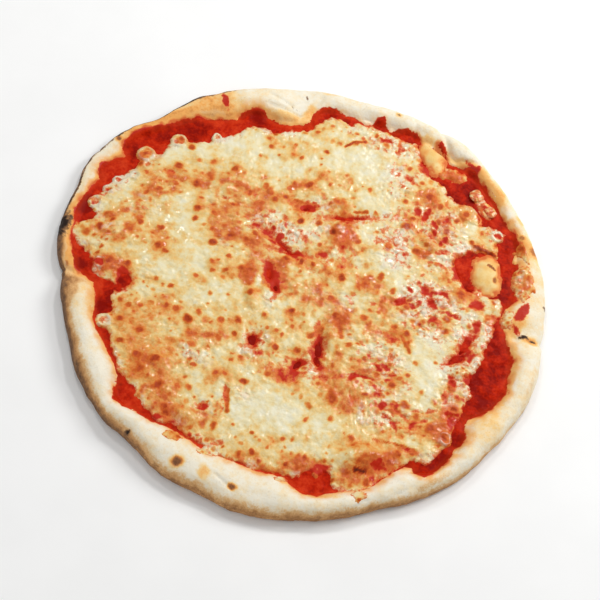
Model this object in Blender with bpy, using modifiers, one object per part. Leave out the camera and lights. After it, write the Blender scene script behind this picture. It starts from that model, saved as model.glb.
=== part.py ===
# Margherita pizza, whole and uncut: a hand-stretched dough base with a puffy uneven rim, a thin
# tomato layer in its dish, a sheet of melted mozzarella with windows and blisters, and a few
# loose drops of cheese that melted on the sauce outside the sheet.
# Metres, +Z up. The origin is the middle of the underside. Angles are in degrees from +X
# towards +Y. The photograph's near side is at -Y.

import math

import bmesh
import bpy
from mathutils import Matrix, Vector, noise

MM = 0.001

# Levels, in mm above the table
BASE_TOP = 5.0
SAUCE_DEPTH = 1.2
CHEESE_DEPTH = 2.7
CHEESE_EDGE_DEPTH = 0.9
GAP = 0.3
SAUCE_FLOOR = BASE_TOP + GAP
SAUCE_TOP = SAUCE_FLOOR + SAUCE_DEPTH
CHEESE_FLOOR = SAUCE_TOP + GAP

# Outlines: radii in mm, one every 10 degrees, starting at +X
RIM_OUTSIDE = (151, 151, 153, 153, 153, 154, 156, 153, 150, 148, 150, 149,
               150, 151, 149, 155, 157, 152, 151, 146, 143, 143, 145, 147,
               144, 147, 147, 149, 148, 147, 146, 148, 150, 149, 151, 152)
DISH_EDGE = (128, 138, 136, 142, 143, 148, 139, 140, 138, 134, 130, 121,
             131, 130, 140, 146, 145, 144, 142, 137, 123, 124, 122, 130,
             127, 120, 121, 123, 128, 132, 133, 126, 137, 133, 134, 136)
CHEESE_EDGE = (119, 120, 98, 129, 121, 120, 118, 132, 131, 130, 120, 115,
               120, 121, 129, 132, 133, 138, 140, 127, 111, 119, 119, 118,
               118, 116, 116, 117, 120, 121, 127, 122, 126, 123, 117, 117)
# Height of the rim's crown above the table, in mm, one every 30 degrees
RIM_HEIGHT = (11.5, 10.0, 12.0, 11.0, 12.5, 8.5, 9.5, 14.5, 14.0, 13.0, 13.0, 12.5)
RING_STEPS = 108
CHEESE_STEPS = 144

# The round that is turned before it is pulled to the uneven outline: the radius of its dish
# floor, the radius of its edge and the height of its crown
ROUND_DISH = 100.0
ROUND_EDGE = 120.0
ROUND_CROWN = 10.0
TOUCH = 0.01

# The rim's cross-section: share of the rim's width from its inner foot to its outside, and
# share of its height, from the dish floor to the crown on the slope and from the table to the
# crown on the wall
RIM_INNER_SLOPE = ((0.0, 0.0), (0.10, 0.42), (0.26, 0.80), (0.48, 1.0), (0.70, 0.94), (0.86, 0.70))
OUTER_WALL = ((0.96, 0.62), (1.0, 0.36), (0.975, 0.14))
UNDERCUT = 4.5
UNDERCUT_RISE = 0.6
FOOT = 7.5
RIM_RIPPLE = 0.9
RIM_RIPPLE_LENGTH = 21.0

# Creases across the rim: angle, half width in degrees, depth in mm
RIM_CREASES = ((3, 3.0, 2.4), (62, 4.0, 1.8), (101, 4.0, 2.0), (157, 4.0, 1.6), (193, 4.0, 3.0),
               (229, 3.5, 2.2), (282, 3.0, 1.2), (298, 3.0, 1.2), (341, 4.0, 1.2))

# Dough blisters that come up through the sauce: x, y, half length, half width (mm), turn of
# the length (degrees) and height above the dish floor (mm)
DOUGH_BLISTERS = ((109, 43, 14.0, 9.5, 103, 5.5), (61, 118, 13.0, 7.5, -55, 4.5),
                  (89, 84, 9.0, 5.0, -25, 4.0))
BLISTER_ROOT = 1.5
BLISTER_CLEARANCE = 1.0

# Blisters of the cheese sheet, in the same form: height above the sheet
CHEESE_BLISTERS = ((57, -99, 20.0, 11.0, 22, 6.0), (23, -27, 8.0, 12.0, 0, 3.2),
                   (-27, -15, 6.0, 10.0, 15, 2.6), (-44, -101, 11.0, 6.5, -10, 2.4),
                   (69, 54, 10.0, 6.0, -35, 2.4), (-120, -20, 9.0, 6.0, -15, 2.2),
                   (-112, 5, 22.0, 14.0, 20, 1.4), (15, 45, 10.0, 14.0, 0, 1.8),
                   (-70, -72, 14.0, 10.0, 20, 1.6), (100, -25, 12.0, 9.0, 70, 1.8),
                   (40, -55, 16.0, 9.0, -20, 1.6), (-60, 60, 18.0, 13.0, 40, 1.2))
# Windows through the cheese, where the sauce shows: x, y, half length, half width, turn
CHEESE_WINDOWS = ((-17, 1, 11.0, 4.0, -68), (18, -38, 9.0, 3.0, 95), (93, 43, 10.0, 6.5, 110),
                  (10, -51, 4.5, 2.6, 60), (-21, -42, 4.0, 2.8, 100), (62, -63, 4.2, 2.6, 70),
                  (-103, -26, 5.5, 4.0, 80), (-7, 56, 4.6, 2.4, 15), (16, 58, 9.0, 2.0, 14),
                  (64, 76, 6.0, 2.0, 75), (105, -16, 8.0, 2.6, 40), (-16, 25, 7.0, 2.0, -30))
# Loose drops of melted cheese on the sauce: x, y, radius
CHEESE_DROPS = ((92, 98, 4.6), (103, 89, 3.8))
DROP_HEIGHT = 2.4
DROP_DIMPLE = 1.1

# The cheese sheet's surface: how far in from its edge it reaches its full depth, its lumps,
# the ripple of its outline and how far it keeps from the rim's foot
GRID_SIZE = 296.0
GRID_CELLS = 60
EDGE_SLOPE = 6.0
LUMP_LENGTH = 17.0
LUMP_HEIGHT = 0.9
CHEESE_RIPPLE = 1.5
CHEESE_RIPPLE_LENGTH = 9.0
EDGE_MARGIN = 1.6
CUT_BELOW = 3.0
CUT_ABOVE = 20.0


# Small helpers

def clear_scene():
    for obj in list(bpy.data.objects):
        bpy.data.objects.remove(obj)


def new_collection(name):
    collection = bpy.data.collections.new(name)
    bpy.context.scene.collection.children.link(collection)
    return collection


def move_to(obj, collection):
    for owner in list(obj.users_collection):
        owner.objects.unlink(obj)
    collection.objects.link(obj)


def food_material(name, colour, roughness):
    material = bpy.data.materials.new(name)
    material.use_nodes = True
    shader = material.node_tree.nodes["Principled BSDF"]
    shader.inputs["Base Color"].default_value = (*colour, 1.0)
    shader.inputs["Roughness"].default_value = roughness
    return material


def ring_value(table, degrees):
    """Value of an evenly spaced ring of numbers at any angle, through a smooth closed curve."""
    count = len(table)
    place = (degrees % 360.0) / 360.0 * count
    index = int(place)
    share = place - index
    before, here, after, beyond = (table[(index + k) % count] for k in (-1, 0, 1, 2))
    slope_here = (after - before) / 2
    slope_after = (beyond - here) / 2
    square = share * share
    cube = square * share
    return ((2 * cube - 3 * square + 1) * here + (cube - 2 * square + share) * slope_here
            + (3 * square - 2 * cube) * after + (cube - square) * slope_after)


def ripple(x, y, length, seed):
    return noise.noise(Vector((x / length + seed, y / length - seed, 0.37 * seed)))


def around(radius, degrees):
    angle = math.radians(degrees)
    return radius * math.cos(angle), radius * math.sin(angle)


def angle_gap(a, b):
    return abs((a - b + 180.0) % 360.0 - 180.0)


def in_ellipse(x, y, shape, grow=0.0):
    """0 at the middle of an ellipse (x, y, half length, half width, turn), 1 on its edge."""
    turn = math.radians(shape[4])
    dx, dy = x - shape[0], y - shape[1]
    along = dx * math.cos(turn) + dy * math.sin(turn)
    across = dy * math.cos(turn) - dx * math.sin(turn)
    return math.hypot(along / (shape[2] + grow), across / (shape[3] + grow))


def dome(share):
    """Height share of a soft blister at a distance share from its middle."""
    return (1 - share * share) ** 2 if share < 1 else 0.0


# Outlines

def rim_radius(degrees):
    radius = ring_value(RIM_OUTSIDE, degrees)
    radius += 0.7 * RIM_RIPPLE * ripple(*around(radius, degrees), RIM_RIPPLE_LENGTH, 3.1)
    return radius - 0.45 * crease_depth(degrees)


def dish_radius(degrees):
    return ring_value(DISH_EDGE, degrees)


def cheese_radius(degrees):
    radius = ring_value(CHEESE_EDGE, degrees)
    radius += CHEESE_RIPPLE * ripple(*around(radius, degrees), CHEESE_RIPPLE_LENGTH, 7.7)
    return min(radius, dish_radius(degrees) - EDGE_MARGIN)


def crease_depth(degrees):
    return sum(depth * math.exp(-(angle_gap(degrees, at) / half) ** 2)
               for at, half, depth in RIM_CREASES)


def rim_crown(degrees):
    crown = ring_value(RIM_HEIGHT, degrees) - crease_depth(degrees)
    crown += RIM_RIPPLE * ripple(*around(140.0, degrees), RIM_RIPPLE_LENGTH, 5.3)
    return crown


# Shapes

def turned(name, profile, steps):
    """A solid turned round Z from (radius, height) points in mm, listed down its outer side."""
    mesh = bpy.data.meshes.new(name)
    edges = [(i, i + 1) for i in range(len(profile) - 1)]
    mesh.from_pydata([(r * MM, 0.0, z * MM) for r, z in profile], edges, [])
    obj = bpy.data.objects.new(name, mesh)
    bpy.context.scene.collection.objects.link(obj)
    screw = obj.modifiers.new("turn", "SCREW")
    screw.axis = "Z"
    screw.steps = screw.render_steps = steps
    screw.use_merge_vertices = True
    screw.merge_threshold = 0.00005
    bake_modifiers(obj)
    return obj


def bake_modifiers(obj):
    graph = bpy.context.evaluated_depsgraph_get()
    mesh = bpy.data.meshes.new_from_object(obj.evaluated_get(graph))
    obj.modifiers.clear()
    obj.data = mesh


def outline_prism(name, points, low, high):
    """A flat closed outline, (x, y) in mm, standing from low to high."""
    curve = bpy.data.curves.new(name, "CURVE")
    curve.dimensions = "2D"
    curve.fill_mode = "BOTH"
    curve.extrude = (high - low) / 2 * MM
    spline = curve.splines.new("POLY")
    spline.points.add(len(points) - 1)
    spline.use_cyclic_u = True
    for point, (x, y) in zip(spline.points, points):
        point.co = (x * MM, y * MM, 0.0, 1.0)
    source = bpy.data.objects.new(name + "_outline", curve)
    source.location.z = (low + high) / 2 * MM
    bpy.context.scene.collection.objects.link(source)
    bpy.context.view_layer.update()
    graph = bpy.context.evaluated_depsgraph_get()
    mesh = bpy.data.meshes.new_from_object(source.evaluated_get(graph))
    mesh.transform(source.matrix_world)
    bpy.data.objects.remove(source)
    shape = bmesh.new()
    shape.from_mesh(mesh)
    bmesh.ops.remove_doubles(shape, verts=shape.verts, dist=0.00001)
    bmesh.ops.recalc_face_normals(shape, faces=shape.faces)
    shape.to_mesh(mesh)
    shape.free()
    obj = bpy.data.objects.new(name, mesh)
    bpy.context.scene.collection.objects.link(obj)
    return obj


def ellipse_points(shape, grow, count=20):
    turn = math.radians(shape[4])
    points = []
    for k in range(count):
        angle = 2 * math.pi * k / count
        along = (shape[2] + grow) * math.cos(angle)
        across = (shape[3] + grow) * math.sin(angle)
        points.append((shape[0] + along * math.cos(turn) - across * math.sin(turn),
                       shape[1] + along * math.sin(turn) + across * math.cos(turn)))
    return points


def dome_solid(name, shape, floor, height, level, segments=24, rings=12):
    """An egg-shaped dome, flat below: its footprint at level is the ellipse shape."""
    bpy.ops.mesh.primitive_uv_sphere_add(segments=segments, ring_count=rings, radius=1.0)
    obj = bpy.context.object
    obj.name = name
    turn = math.radians(shape[4])
    sink = 0.35 * height
    spread = 1 / math.sqrt(1 - (sink / (height + sink)) ** 2)
    for vertex in obj.data.vertices:
        along = vertex.co.x * shape[2] * spread
        across = vertex.co.y * shape[3] * spread
        rise = level - sink + vertex.co.z * (height + sink)
        vertex.co = Vector((shape[0] + along * math.cos(turn) - across * math.sin(turn),
                            shape[1] + along * math.sin(turn) + across * math.cos(turn),
                            max(rise, floor))) * MM
    return obj


def boolean_with(obj, others, operation, cutters):
    """Applies one Boolean with all the others, which stay hidden among the cutters."""
    group = bpy.data.collections.new(obj.name + "_" + operation.lower())
    for other in others:
        move_to(other, cutters)
        group.objects.link(other)
        other.hide_render = True
        other.display_type = "WIRE"
    modifier = obj.modifiers.new(operation.lower(), "BOOLEAN")
    modifier.operation = operation
    modifier.operand_type = "COLLECTION"
    modifier.collection = group
    modifier.solver = "EXACT"
    bpy.context.view_layer.update()
    bake_modifiers(obj)
    for other in others:
        bpy.data.objects.remove(other)
    bpy.data.collections.remove(group)


def tidy(obj):
    shape = bmesh.new()
    shape.from_mesh(obj.data)
    bmesh.ops.remove_doubles(shape, verts=shape.verts, dist=0.00002)
    bmesh.ops.dissolve_degenerate(shape, edges=shape.edges, dist=0.00002)
    shape.to_mesh(obj.data)
    shape.free()
    obj.data.shade_smooth()
    obj.data.set_sharp_from_angle(angle=math.radians(50))


# Pieces

def make_crust(parts, cutters):
    """The dough: a round of constant section, pulled to the uneven outline, with blisters."""
    inner, outer, crown = ROUND_DISH, ROUND_EDGE, ROUND_CROWN
    width = outer - inner
    slope = [(inner + width * across, BASE_TOP + (crown - BASE_TOP) * up)
             for across, up in RIM_INNER_SLOPE]
    wall = [(inner + width * across, crown * up) for across, up in OUTER_WALL]
    sole = [(outer - UNDERCUT, UNDERCUT_RISE), (outer - FOOT, 0.0), (inner / 2, 0.0), (0.0, 0.0)]
    profile = [(0.0, BASE_TOP), (inner / 2, BASE_TOP)] + slope + wall + sole
    crust = turned("crust", profile, RING_STEPS)
    for vertex in crust.data.vertices:
        x, y, z = vertex.co / MM
        radius = math.hypot(x, y)
        degrees = math.degrees(math.atan2(y, x))
        foot, edge, top = dish_radius(degrees), rim_radius(degrees), rim_crown(degrees)
        on_floor = radius <= inner + TOUCH
        on_sole = z <= UNDERCUT_RISE + TOUCH
        if on_floor:
            radius *= foot / inner
        elif on_sole:
            radius = edge - (outer - radius)
        else:
            radius = foot + (radius - inner) / width * (edge - foot)
        if z > BASE_TOP:
            z = BASE_TOP + (z - BASE_TOP) / (crown - BASE_TOP) * (top - BASE_TOP)
        elif not on_floor and not on_sole:
            z *= top / crown
        vertex.co = Vector((*around(radius, degrees), z)) * MM
    blisters = [dome_solid(f"blister_{k}", shape, BLISTER_ROOT, shape[5], BASE_TOP)
                for k, shape in enumerate(DOUGH_BLISTERS)]
    boolean_with(crust, blisters, "UNION", cutters)
    finish(crust, parts, food_material("baked dough", (0.86, 0.76, 0.56), 0.75))


def blister_holes(low, high):
    return [outline_prism(f"hole_{k}", ellipse_points(shape, BLISTER_CLEARANCE + GAP), low, high)
            for k, shape in enumerate(DOUGH_BLISTERS)]


def make_sauce(parts, cutters):
    """The tomato layer fills the dish floor up to the foot of the rim."""
    degrees = [360.0 * k / RING_STEPS for k in range(RING_STEPS)]
    outline = [around(dish_radius(d) - 2 * GAP, d) for d in degrees]
    sauce = outline_prism("tomato_sauce", outline, SAUCE_FLOOR, SAUCE_TOP)
    holes = blister_holes(SAUCE_FLOOR - CUT_BELOW, SAUCE_TOP + CUT_BELOW)
    boolean_with(sauce, holes, "DIFFERENCE", cutters)
    finish(sauce, parts, food_material("tomato sauce", (0.50, 0.03, 0.012), 0.3))


def cheese_top(x, y):
    """Height of the cheese sheet's upper face: lumpy, thin at its edge and at each window."""
    to_edge = cheese_radius(math.degrees(math.atan2(y, x))) - math.hypot(x, y)
    for shape in CHEESE_WINDOWS + DOUGH_BLISTERS:
        to_edge = min(to_edge, (in_ellipse(x, y, shape) - 1) * shape[3] - BLISTER_CLEARANCE)
    share = max(0.0, min(1.0, to_edge / EDGE_SLOPE))
    fullness = share * (2 - share)
    depth = CHEESE_EDGE_DEPTH + (CHEESE_DEPTH - CHEESE_EDGE_DEPTH) * fullness
    depth += fullness * LUMP_HEIGHT * (ripple(x, y, LUMP_LENGTH, 1.9)
                                       + 0.6 * ripple(x, y, LUMP_LENGTH / 2, 4.4))
    for shape in CHEESE_BLISTERS:
        depth += fullness * shape[5] * dome(in_ellipse(x, y, shape))
    return CHEESE_FLOOR + depth


def make_cheese(parts, cutters):
    """The mozzarella sheet: a lumpy slab trimmed to its outline and pierced by its windows."""
    bpy.ops.mesh.primitive_grid_add(x_subdivisions=GRID_CELLS, y_subdivisions=GRID_CELLS,
                                    size=GRID_SIZE * MM)
    cheese = bpy.context.object
    cheese.name = "mozzarella"
    for vertex in cheese.data.vertices:
        vertex.co.z = cheese_top(vertex.co.x / MM, vertex.co.y / MM) * MM
    shape = bmesh.new()
    shape.from_mesh(cheese.data)
    border = [edge for edge in shape.edges if edge.is_boundary]
    drop = bmesh.ops.extrude_edge_only(shape, edges=border)["geom"]
    for vertex in (item for item in drop if isinstance(item, bmesh.types.BMVert)):
        vertex.co.z = (CHEESE_FLOOR - CUT_BELOW / 2) * MM
    bmesh.ops.contextual_create(shape, geom=[edge for edge in shape.edges if edge.is_boundary])
    bmesh.ops.recalc_face_normals(shape, faces=shape.faces)
    shape.to_mesh(cheese.data)
    shape.free()
    degrees = [360.0 * k / CHEESE_STEPS for k in range(CHEESE_STEPS)]
    outline = [around(cheese_radius(d), d) for d in degrees]
    low, high = CHEESE_FLOOR - CUT_BELOW, CHEESE_FLOOR + CUT_ABOVE
    trim = outline_prism("cheese_outline", outline, CHEESE_FLOOR, high)
    boolean_with(cheese, [trim], "INTERSECT", cutters)
    windows = [outline_prism(f"window_{k}", ellipse_points(shape, 0.0), low, high)
               for k, shape in enumerate(CHEESE_WINDOWS)]
    boolean_with(cheese, windows, "DIFFERENCE", cutters)
    boolean_with(cheese, blister_holes(low, high), "DIFFERENCE", cutters)
    finish(cheese, parts, food_material("melted mozzarella", (0.86, 0.66, 0.33), 0.35))


def make_drops(parts):
    """Drops of cheese that melted apart from the sheet, each with a browned dimple on top."""
    material = food_material("cheese drop", (0.85, 0.62, 0.38), 0.3)
    for number, (x, y, radius) in enumerate(CHEESE_DROPS, start=1):
        drop = dome_solid(f"cheese_drop_{number}", (x, y, radius, radius, 0.0), CHEESE_FLOOR,
                          DROP_HEIGHT, CHEESE_FLOOR, segments=18, rings=10)
        for vertex in drop.data.vertices:
            share = math.hypot(vertex.co.x / MM - x, vertex.co.y / MM - y) / (0.6 * radius)
            if vertex.co.z > (CHEESE_FLOOR + TOUCH) * MM:
                vertex.co.z -= DROP_DIMPLE * MM * dome(share)
        finish(drop, parts, material)


def finish(obj, parts, material):
    tidy(obj)
    obj.data.materials.clear()
    obj.data.materials.append(material)
    move_to(obj, parts)


def centre_on_origin(parts):
    """Moves the pieces together so that the dough's outline is centred on the origin."""
    corners = [vertex.co for vertex in parts.objects["crust"].data.vertices]
    middle = [(min(c[axis] for c in corners) + max(c[axis] for c in corners)) / 2 for axis in (0, 1)]
    for obj in parts.objects:
        obj.data.transform(Matrix.Translation((-middle[0], -middle[1], 0.0)))


def main():
    clear_scene()
    parts = new_collection("margherita_pizza")
    cutters = new_collection("cutters")
    make_crust(parts, cutters)
    make_sauce(parts, cutters)
    make_cheese(parts, cutters)
    make_drops(parts)
    centre_on_origin(parts)


main()
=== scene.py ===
# Dresses the margherita pizza: baked dough rim, tomato sauce, blistered mozzarella
import math

import bpy
import bmesh
import numpy as np
from mathutils import Matrix, Vector


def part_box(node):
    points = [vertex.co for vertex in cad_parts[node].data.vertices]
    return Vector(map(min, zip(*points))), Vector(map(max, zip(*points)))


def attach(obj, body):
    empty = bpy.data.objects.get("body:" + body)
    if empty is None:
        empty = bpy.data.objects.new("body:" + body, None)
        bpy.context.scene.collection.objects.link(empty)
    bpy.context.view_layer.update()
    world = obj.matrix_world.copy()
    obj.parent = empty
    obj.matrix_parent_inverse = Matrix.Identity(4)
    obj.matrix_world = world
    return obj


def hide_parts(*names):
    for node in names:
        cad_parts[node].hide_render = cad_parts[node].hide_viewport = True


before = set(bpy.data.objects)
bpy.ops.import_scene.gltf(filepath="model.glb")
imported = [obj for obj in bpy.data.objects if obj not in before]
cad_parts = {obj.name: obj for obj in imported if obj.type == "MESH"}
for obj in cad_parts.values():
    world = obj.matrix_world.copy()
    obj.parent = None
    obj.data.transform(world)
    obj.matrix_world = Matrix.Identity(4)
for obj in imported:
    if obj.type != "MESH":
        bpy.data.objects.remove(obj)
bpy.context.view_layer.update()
mm = 0.001
print("frame loaded:", sorted(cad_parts))


# small tools
def srgb(red, green, blue):
    values = [c / 255 for c in (red, green, blue)]
    return tuple(c / 12.92 if c < 0.04045 else ((c + 0.055) / 1.055) ** 2.4 for c in values) + (1.0,)


def pickNothing():
    bpy.ops.object.select_all(action="DESELECT")


def makeActive(obj):
    pickNothing()
    obj.select_set(True)
    bpy.context.view_layer.objects.active = obj


def smoothFaces(obj):
    makeActive(obj)
    bpy.ops.object.shade_smooth()


def readPoints(obj):
    points = np.zeros(len(obj.data.vertices) * 3)
    obj.data.vertices.foreach_get("co", points)
    return points.reshape(-1, 3) / mm


def writePoints(obj, points):
    obj.data.vertices.foreach_set("co", (np.asarray(points) * mm).ravel())
    obj.data.update()


def paint(obj, **layers):
    # values from -1 to 1 on every point, for the materials to read
    for name, values in layers.items():
        values = np.clip(values + np.zeros(len(obj.data.vertices)), -1, 1)
        layer = obj.data.attributes.new(name, "FLOAT", "POINT")
        layer.data.foreach_set("value", values.astype(np.float32))


def smooth(low, high, values):
    share = np.clip((values - low) / (high - low), 0, 1)
    return share * share * (3 - 2 * share)


def soft(x, y, size, seed):
    # gradient noise, about -1 to 1, with bumps as wide as size (mm)
    period = 97
    turns = np.random.default_rng(seed).uniform(0, 2 * np.pi, (period, period))
    gx, gy = np.cos(turns), np.sin(turns)
    u, v = x / size + 31.7, y / size + 17.3
    i, j = np.floor(u).astype(int), np.floor(v).astype(int)
    fu, fv = u - i, v - j

    def corner(a, b):
        p, q = (i + a) % period, (j + b) % period
        return gx[p, q] * (fu - a) + gy[p, q] * (fv - b)

    su = fu * fu * fu * (fu * (fu * 6 - 15) + 10)
    sv = fv * fv * fv * (fv * (fv * 6 - 15) + 10)
    near = corner(0, 0) * (1 - su) + corner(1, 0) * su
    far = corner(0, 1) * (1 - su) + corner(1, 1) * su
    return 1.5 * (near * (1 - sv) + far * sv)


def layered(x, y, size, seed):
    return sum(soft(x, y, size / 2 ** k, seed + k) * 0.55 ** k for k in range(3))


def waves(x, y, layers):
    # soft noises added up: height, size (mm), seed
    return sum(height * soft(x, y, size, seed) for height, size, seed in layers)


def cellWalls(x, y, size, seed):
    # bubbles packed side by side: 0 on the wall between two, above 0 inside
    period = 61
    places = np.random.default_rng(seed).uniform(0.12, 0.88, (period, period, 2))
    u, v = x / size + 40.3, y / size + 45.7
    i, j = np.floor(u).astype(int), np.floor(v).astype(int)
    nearest, second = np.full_like(u, 9.0), np.full_like(u, 9.0)
    for a in (-1, 0, 1):
        for b in (-1, 0, 1):
            place = places[(i + a) % period, (j + b) % period]
            away = np.hypot(i + a + place[..., 0] - u, j + b + place[..., 1] - v)
            second = np.minimum(second, np.maximum(nearest, away))
            nearest = np.minimum(nearest, away)
    return second - nearest


def curve(a, b, c, d, f):
    # smooth curve from b to c, with a before and d after them, at share f of the way
    return (b + f * (c - a) / 2 + f * f * (a - 2.5 * b + 2 * c - d / 2)
            + f ** 3 * ((d - a) / 2 + 1.5 * (b - c)))


def aroundRing(table, degrees):
    # smooth closed curve through evenly spaced values
    table = np.asarray(table, float)
    count = len(table)
    place = np.asarray(degrees) % 360 / 360 * count
    i = np.floor(place).astype(int)
    return curve(*(table[(i + k) % count] for k in (-1, 0, 1, 2)), place - i)


def byAngle(stops, degrees):
    # value round the rim from (angle, value) pairs
    angles, values = zip(*stops)
    return np.interp(np.asarray(degrees) % 360, angles, values, period=360)


def across(r, theta):
    return r * np.cos(theta), r * np.sin(theta)


def inOval(x, y, oval):
    # 0 in the middle of (x, y, half length, half width, turn), 1 on its edge
    turn = math.radians(oval[4])
    dx, dy = x - oval[0], y - oval[1]
    along = dx * math.cos(turn) + dy * math.sin(turn)
    aside = dy * math.cos(turn) - dx * math.sin(turn)
    return np.hypot(along / oval[2], aside / oval[3])


def dome(share):
    return np.where(share < 1, (1 - np.minimum(share, 1) ** 2) ** 2, 0)


def toLine(x, y, line):
    # distance (mm) to a straight stretch (x0, y0, x1, y1)
    x0, y0, x1, y1 = line[:4]
    dx, dy = x1 - x0, y1 - y0
    t = np.clip(((x - x0) * dx + (y - y0) * dy) / (dx * dx + dy * dy), 0, 1)
    return np.hypot(x - x0 - t * dx, y - y0 - t * dy)


def depthInside(outline, x, y):
    # distance (mm) to a closed outline, above 0 inside it
    near = np.full_like(x, 1e6)
    inside = np.zeros(x.shape, bool)
    for (x0, y0), (x1, y1) in zip(outline, outline[1:] + outline[:1]):
        near = np.minimum(near, toLine(x, y, (x0, y0, x1, y1)))
        if y0 != y1:
            crosses = (y0 > y) != (y1 > y)
            inside ^= crosses & (x < x0 + (y - y0) * (x1 - x0) / (y1 - y0))
    return np.where(inside, near, -near)


def patches(x, y, places, wobble, low, high):
    # soft-edged patches: x, y, half length, half width, turn, strength
    total = np.zeros_like(x)
    for place in places:
        total = np.maximum(total, place[5] * (1 - smooth(low, high, inOval(x, y, place) + wobble)))
    return total


def evened(values, reach):
    # running mean round a closed ring of values
    return sum(np.roll(values, k) for k in range(-reach, reach + 1)) / (2 * reach + 1)


# heights (mm) of the dish and of the sauce in it, the spokes of the solid rim, and the
# half-degree directions that every outline is measured in
levels = {"floor": 5.0, "sauce": 6.5}
spokeCount = 108
compass = np.arange(720) / 2


def readRim():
    # the solid rim's outer edge and height at every spoke
    points = readPoints(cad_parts["crust"])
    radius = np.hypot(points[:, 0], points[:, 1])
    spoke = np.round(np.degrees(np.arctan2(points[:, 1], points[:, 0])) % 360 / 360 * spokeCount)
    spoke = spoke.astype(int) % spokeCount
    edge, crown, rimWidth = [], [], 20
    for k in range(spokeCount):
        r, z = radius[spoke == k], points[spoke == k, 2]
        edge.append(r.max())
        crown.append(z[r > r.max() - rimWidth].max())
    return {"edge": np.array(edge), "crown": np.array(crown)}


rim = readRim()

# outlines seen in the picture: corners (x, y) in mm on the pizza, from the right round the far side
outlines = {
    # where the red of the sauce ends on the dough
    "sauce": (
        (130, -3), (127, 3), (125, 9), (121, 14), (122, 21), (126, 27), (130, 31), (126, 38), (125, 45),
        (127, 52), (126, 57), (122, 58), (123, 64), (125, 71), (121, 77), (116, 81), (112, 87), (107, 94),
        (102, 100), (97, 106), (92, 110), (89, 116), (85, 118), (80, 117), (75, 117), (70, 118), (68, 124),
        (66, 129), (63, 132), (60, 130), (58, 126), (52, 126), (49, 131), (46, 133), (40, 135), (34, 133),
        (29, 130), (26, 134), (23, 138), (19, 137), (17, 132), (13, 131), (8, 133), (3, 134), (-4, 135),
        (-12, 136), (-18, 133), (-21, 128), (-22, 122), (-26, 118), (-32, 116), (-40, 114.5), (-48, 116),
        (-52, 120), (-57, 120), (-62, 117), (-66, 113), (-67, 109), (-72, 107), (-79, 105), (-85, 103),
        (-91, 102), (-97, 99), (-102, 95), (-108, 91), (-114, 87), (-121, 83), (-127, 78), (-131, 71),
        (-130, 65), (-127, 60), (-133, 56), (-139, 51), (-140, 46), (-137, 39), (-140, 33), (-141, 27),
        (-144, 20), (-145, 12), (-143, 5), (-142, -6), (-138, -15), (-135, -23), (-133, -27), (-126, -29),
        (-120, -32), (-117, -38), (-115, -48), (-113, -57), (-106, -66), (-100, -73), (-94, -80),
        (-89, -87), (-88, -92), (-89, -98), (-87, -104), (-81, -107), (-75, -105), (-69, -109),
        (-62, -110.5), (-55, -110), (-48, -112), (-40, -114.5), (-32, -117.5), (-25, -120), (-18, -119.5),
        (-8, -121), (2, -122.5), (12, -122), (21, -123), (26, -127.5), (31, -130), (38, -129), (45, -124),
        (52, -121), (60, -119), (66, -116), (71, -110), (77, -103), (83, -95), (88, -96), (90, -100),
        (95, -102), (100, -98), (103, -92), (107, -87), (109, -81), (109, -77), (113, -75), (115, -70),
        (114, -65), (112, -60), (113, -56), (118, -54), (123, -50), (127, -45), (131, -39), (133, -32),
        (133, -22), (134, -12), (132, -6)),
    # where the cheese sheet ends on the sauce
    "cheese": (
        (119, 0), (118.5, 7), (119.5, 12), (122, 19), (120, 29), (112, 32), (105, 31), (100, 34), (94, 37),
        (88, 41), (88, 47), (91, 53), (97, 56), (104, 58), (112, 58), (113, 63), (111, 67), (114, 71),
        (114, 76), (109, 79), (103, 79), (99, 78), (97, 84), (93, 89), (85, 90), (78, 91), (74, 96),
        (68, 101), (62, 104), (60, 106), (56, 113), (53, 119), (51, 125), (46, 127), (38, 126), (32, 127),
        (27, 130), (20, 131), (14, 130), (8, 131), (4, 127), (-2, 129), (-7, 130), (-13, 128), (-16, 123),
        (-19, 117), (-25, 114), (-31, 111), (-37, 109), (-43, 106), (-50, 108), (-56, 108), (-61, 104),
        (-64, 99), (-70, 95), (-76, 91), (-81, 87), (-88, 84), (-95, 83), (-102, 78), (-106, 73),
        (-108, 67), (-113, 61), (-118, 57), (-122, 51), (-125, 46), (-128, 41), (-131, 35), (-135, 28),
        (-138, 22), (-134, 17), (-131, 13), (-136, 9), (-141, 5), (-142, -2), (-138, -8), (-132, -13),
        (-126, -17), (-124, -24), (-116, -28), (-108, -29), (-102, -32), (-107, -34), (-106, -41),
        (-104, -47), (-108, -51), (-107, -57), (-102, -62), (-99, -68), (-96, -75), (-92, -81), (-88, -87),
        (-80, -91), (-74, -97), (-68, -104), (-61, -108), (-53, -108), (-45, -111), (-36, -114),
        (-28, -117), (-20, -119), (-12, -120), (-4, -121), (6, -121.5), (15, -120.5), (22, -121.5),
        (26, -119), (30, -115), (37, -112), (42, -113), (46, -120), (53, -121.5), (60, -119), (66, -116),
        (71, -109), (77, -101), (83, -94), (88, -91), (95, -91), (99, -86), (103, -80), (107, -76),
        (106, -69), (108, -62), (110, -54), (111, -46), (113, -40), (110, -34), (112, -27), (114, -20),
        (118, -13), (116, -8), (119, -4)),
}

# dough blisters: x, y, half length, half width, turn, height above the dish floor, bare share
doughBlisters = (
    (108.7, 42.6, 16.8, 11, 104, 5, .8), (59.5, 120, 18.5, 9.2, -57, 4, .84),
    (89.5, 83, 11.4, 7.8, -28, 3.6, 0))


def blisterRise(x, y):
    rise = np.zeros_like(x)
    uneven = waves(x, y, ((0.17, 9, 34), (0.07, 4, 35)))
    for oval in doughBlisters:
        share = np.clip(inOval(x, y, oval) / 1.13 + uneven, 0, 1)
        rise = np.maximum(rise, oval[5] * (1 - share ** 2) ** 1.2)
    return rise


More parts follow.
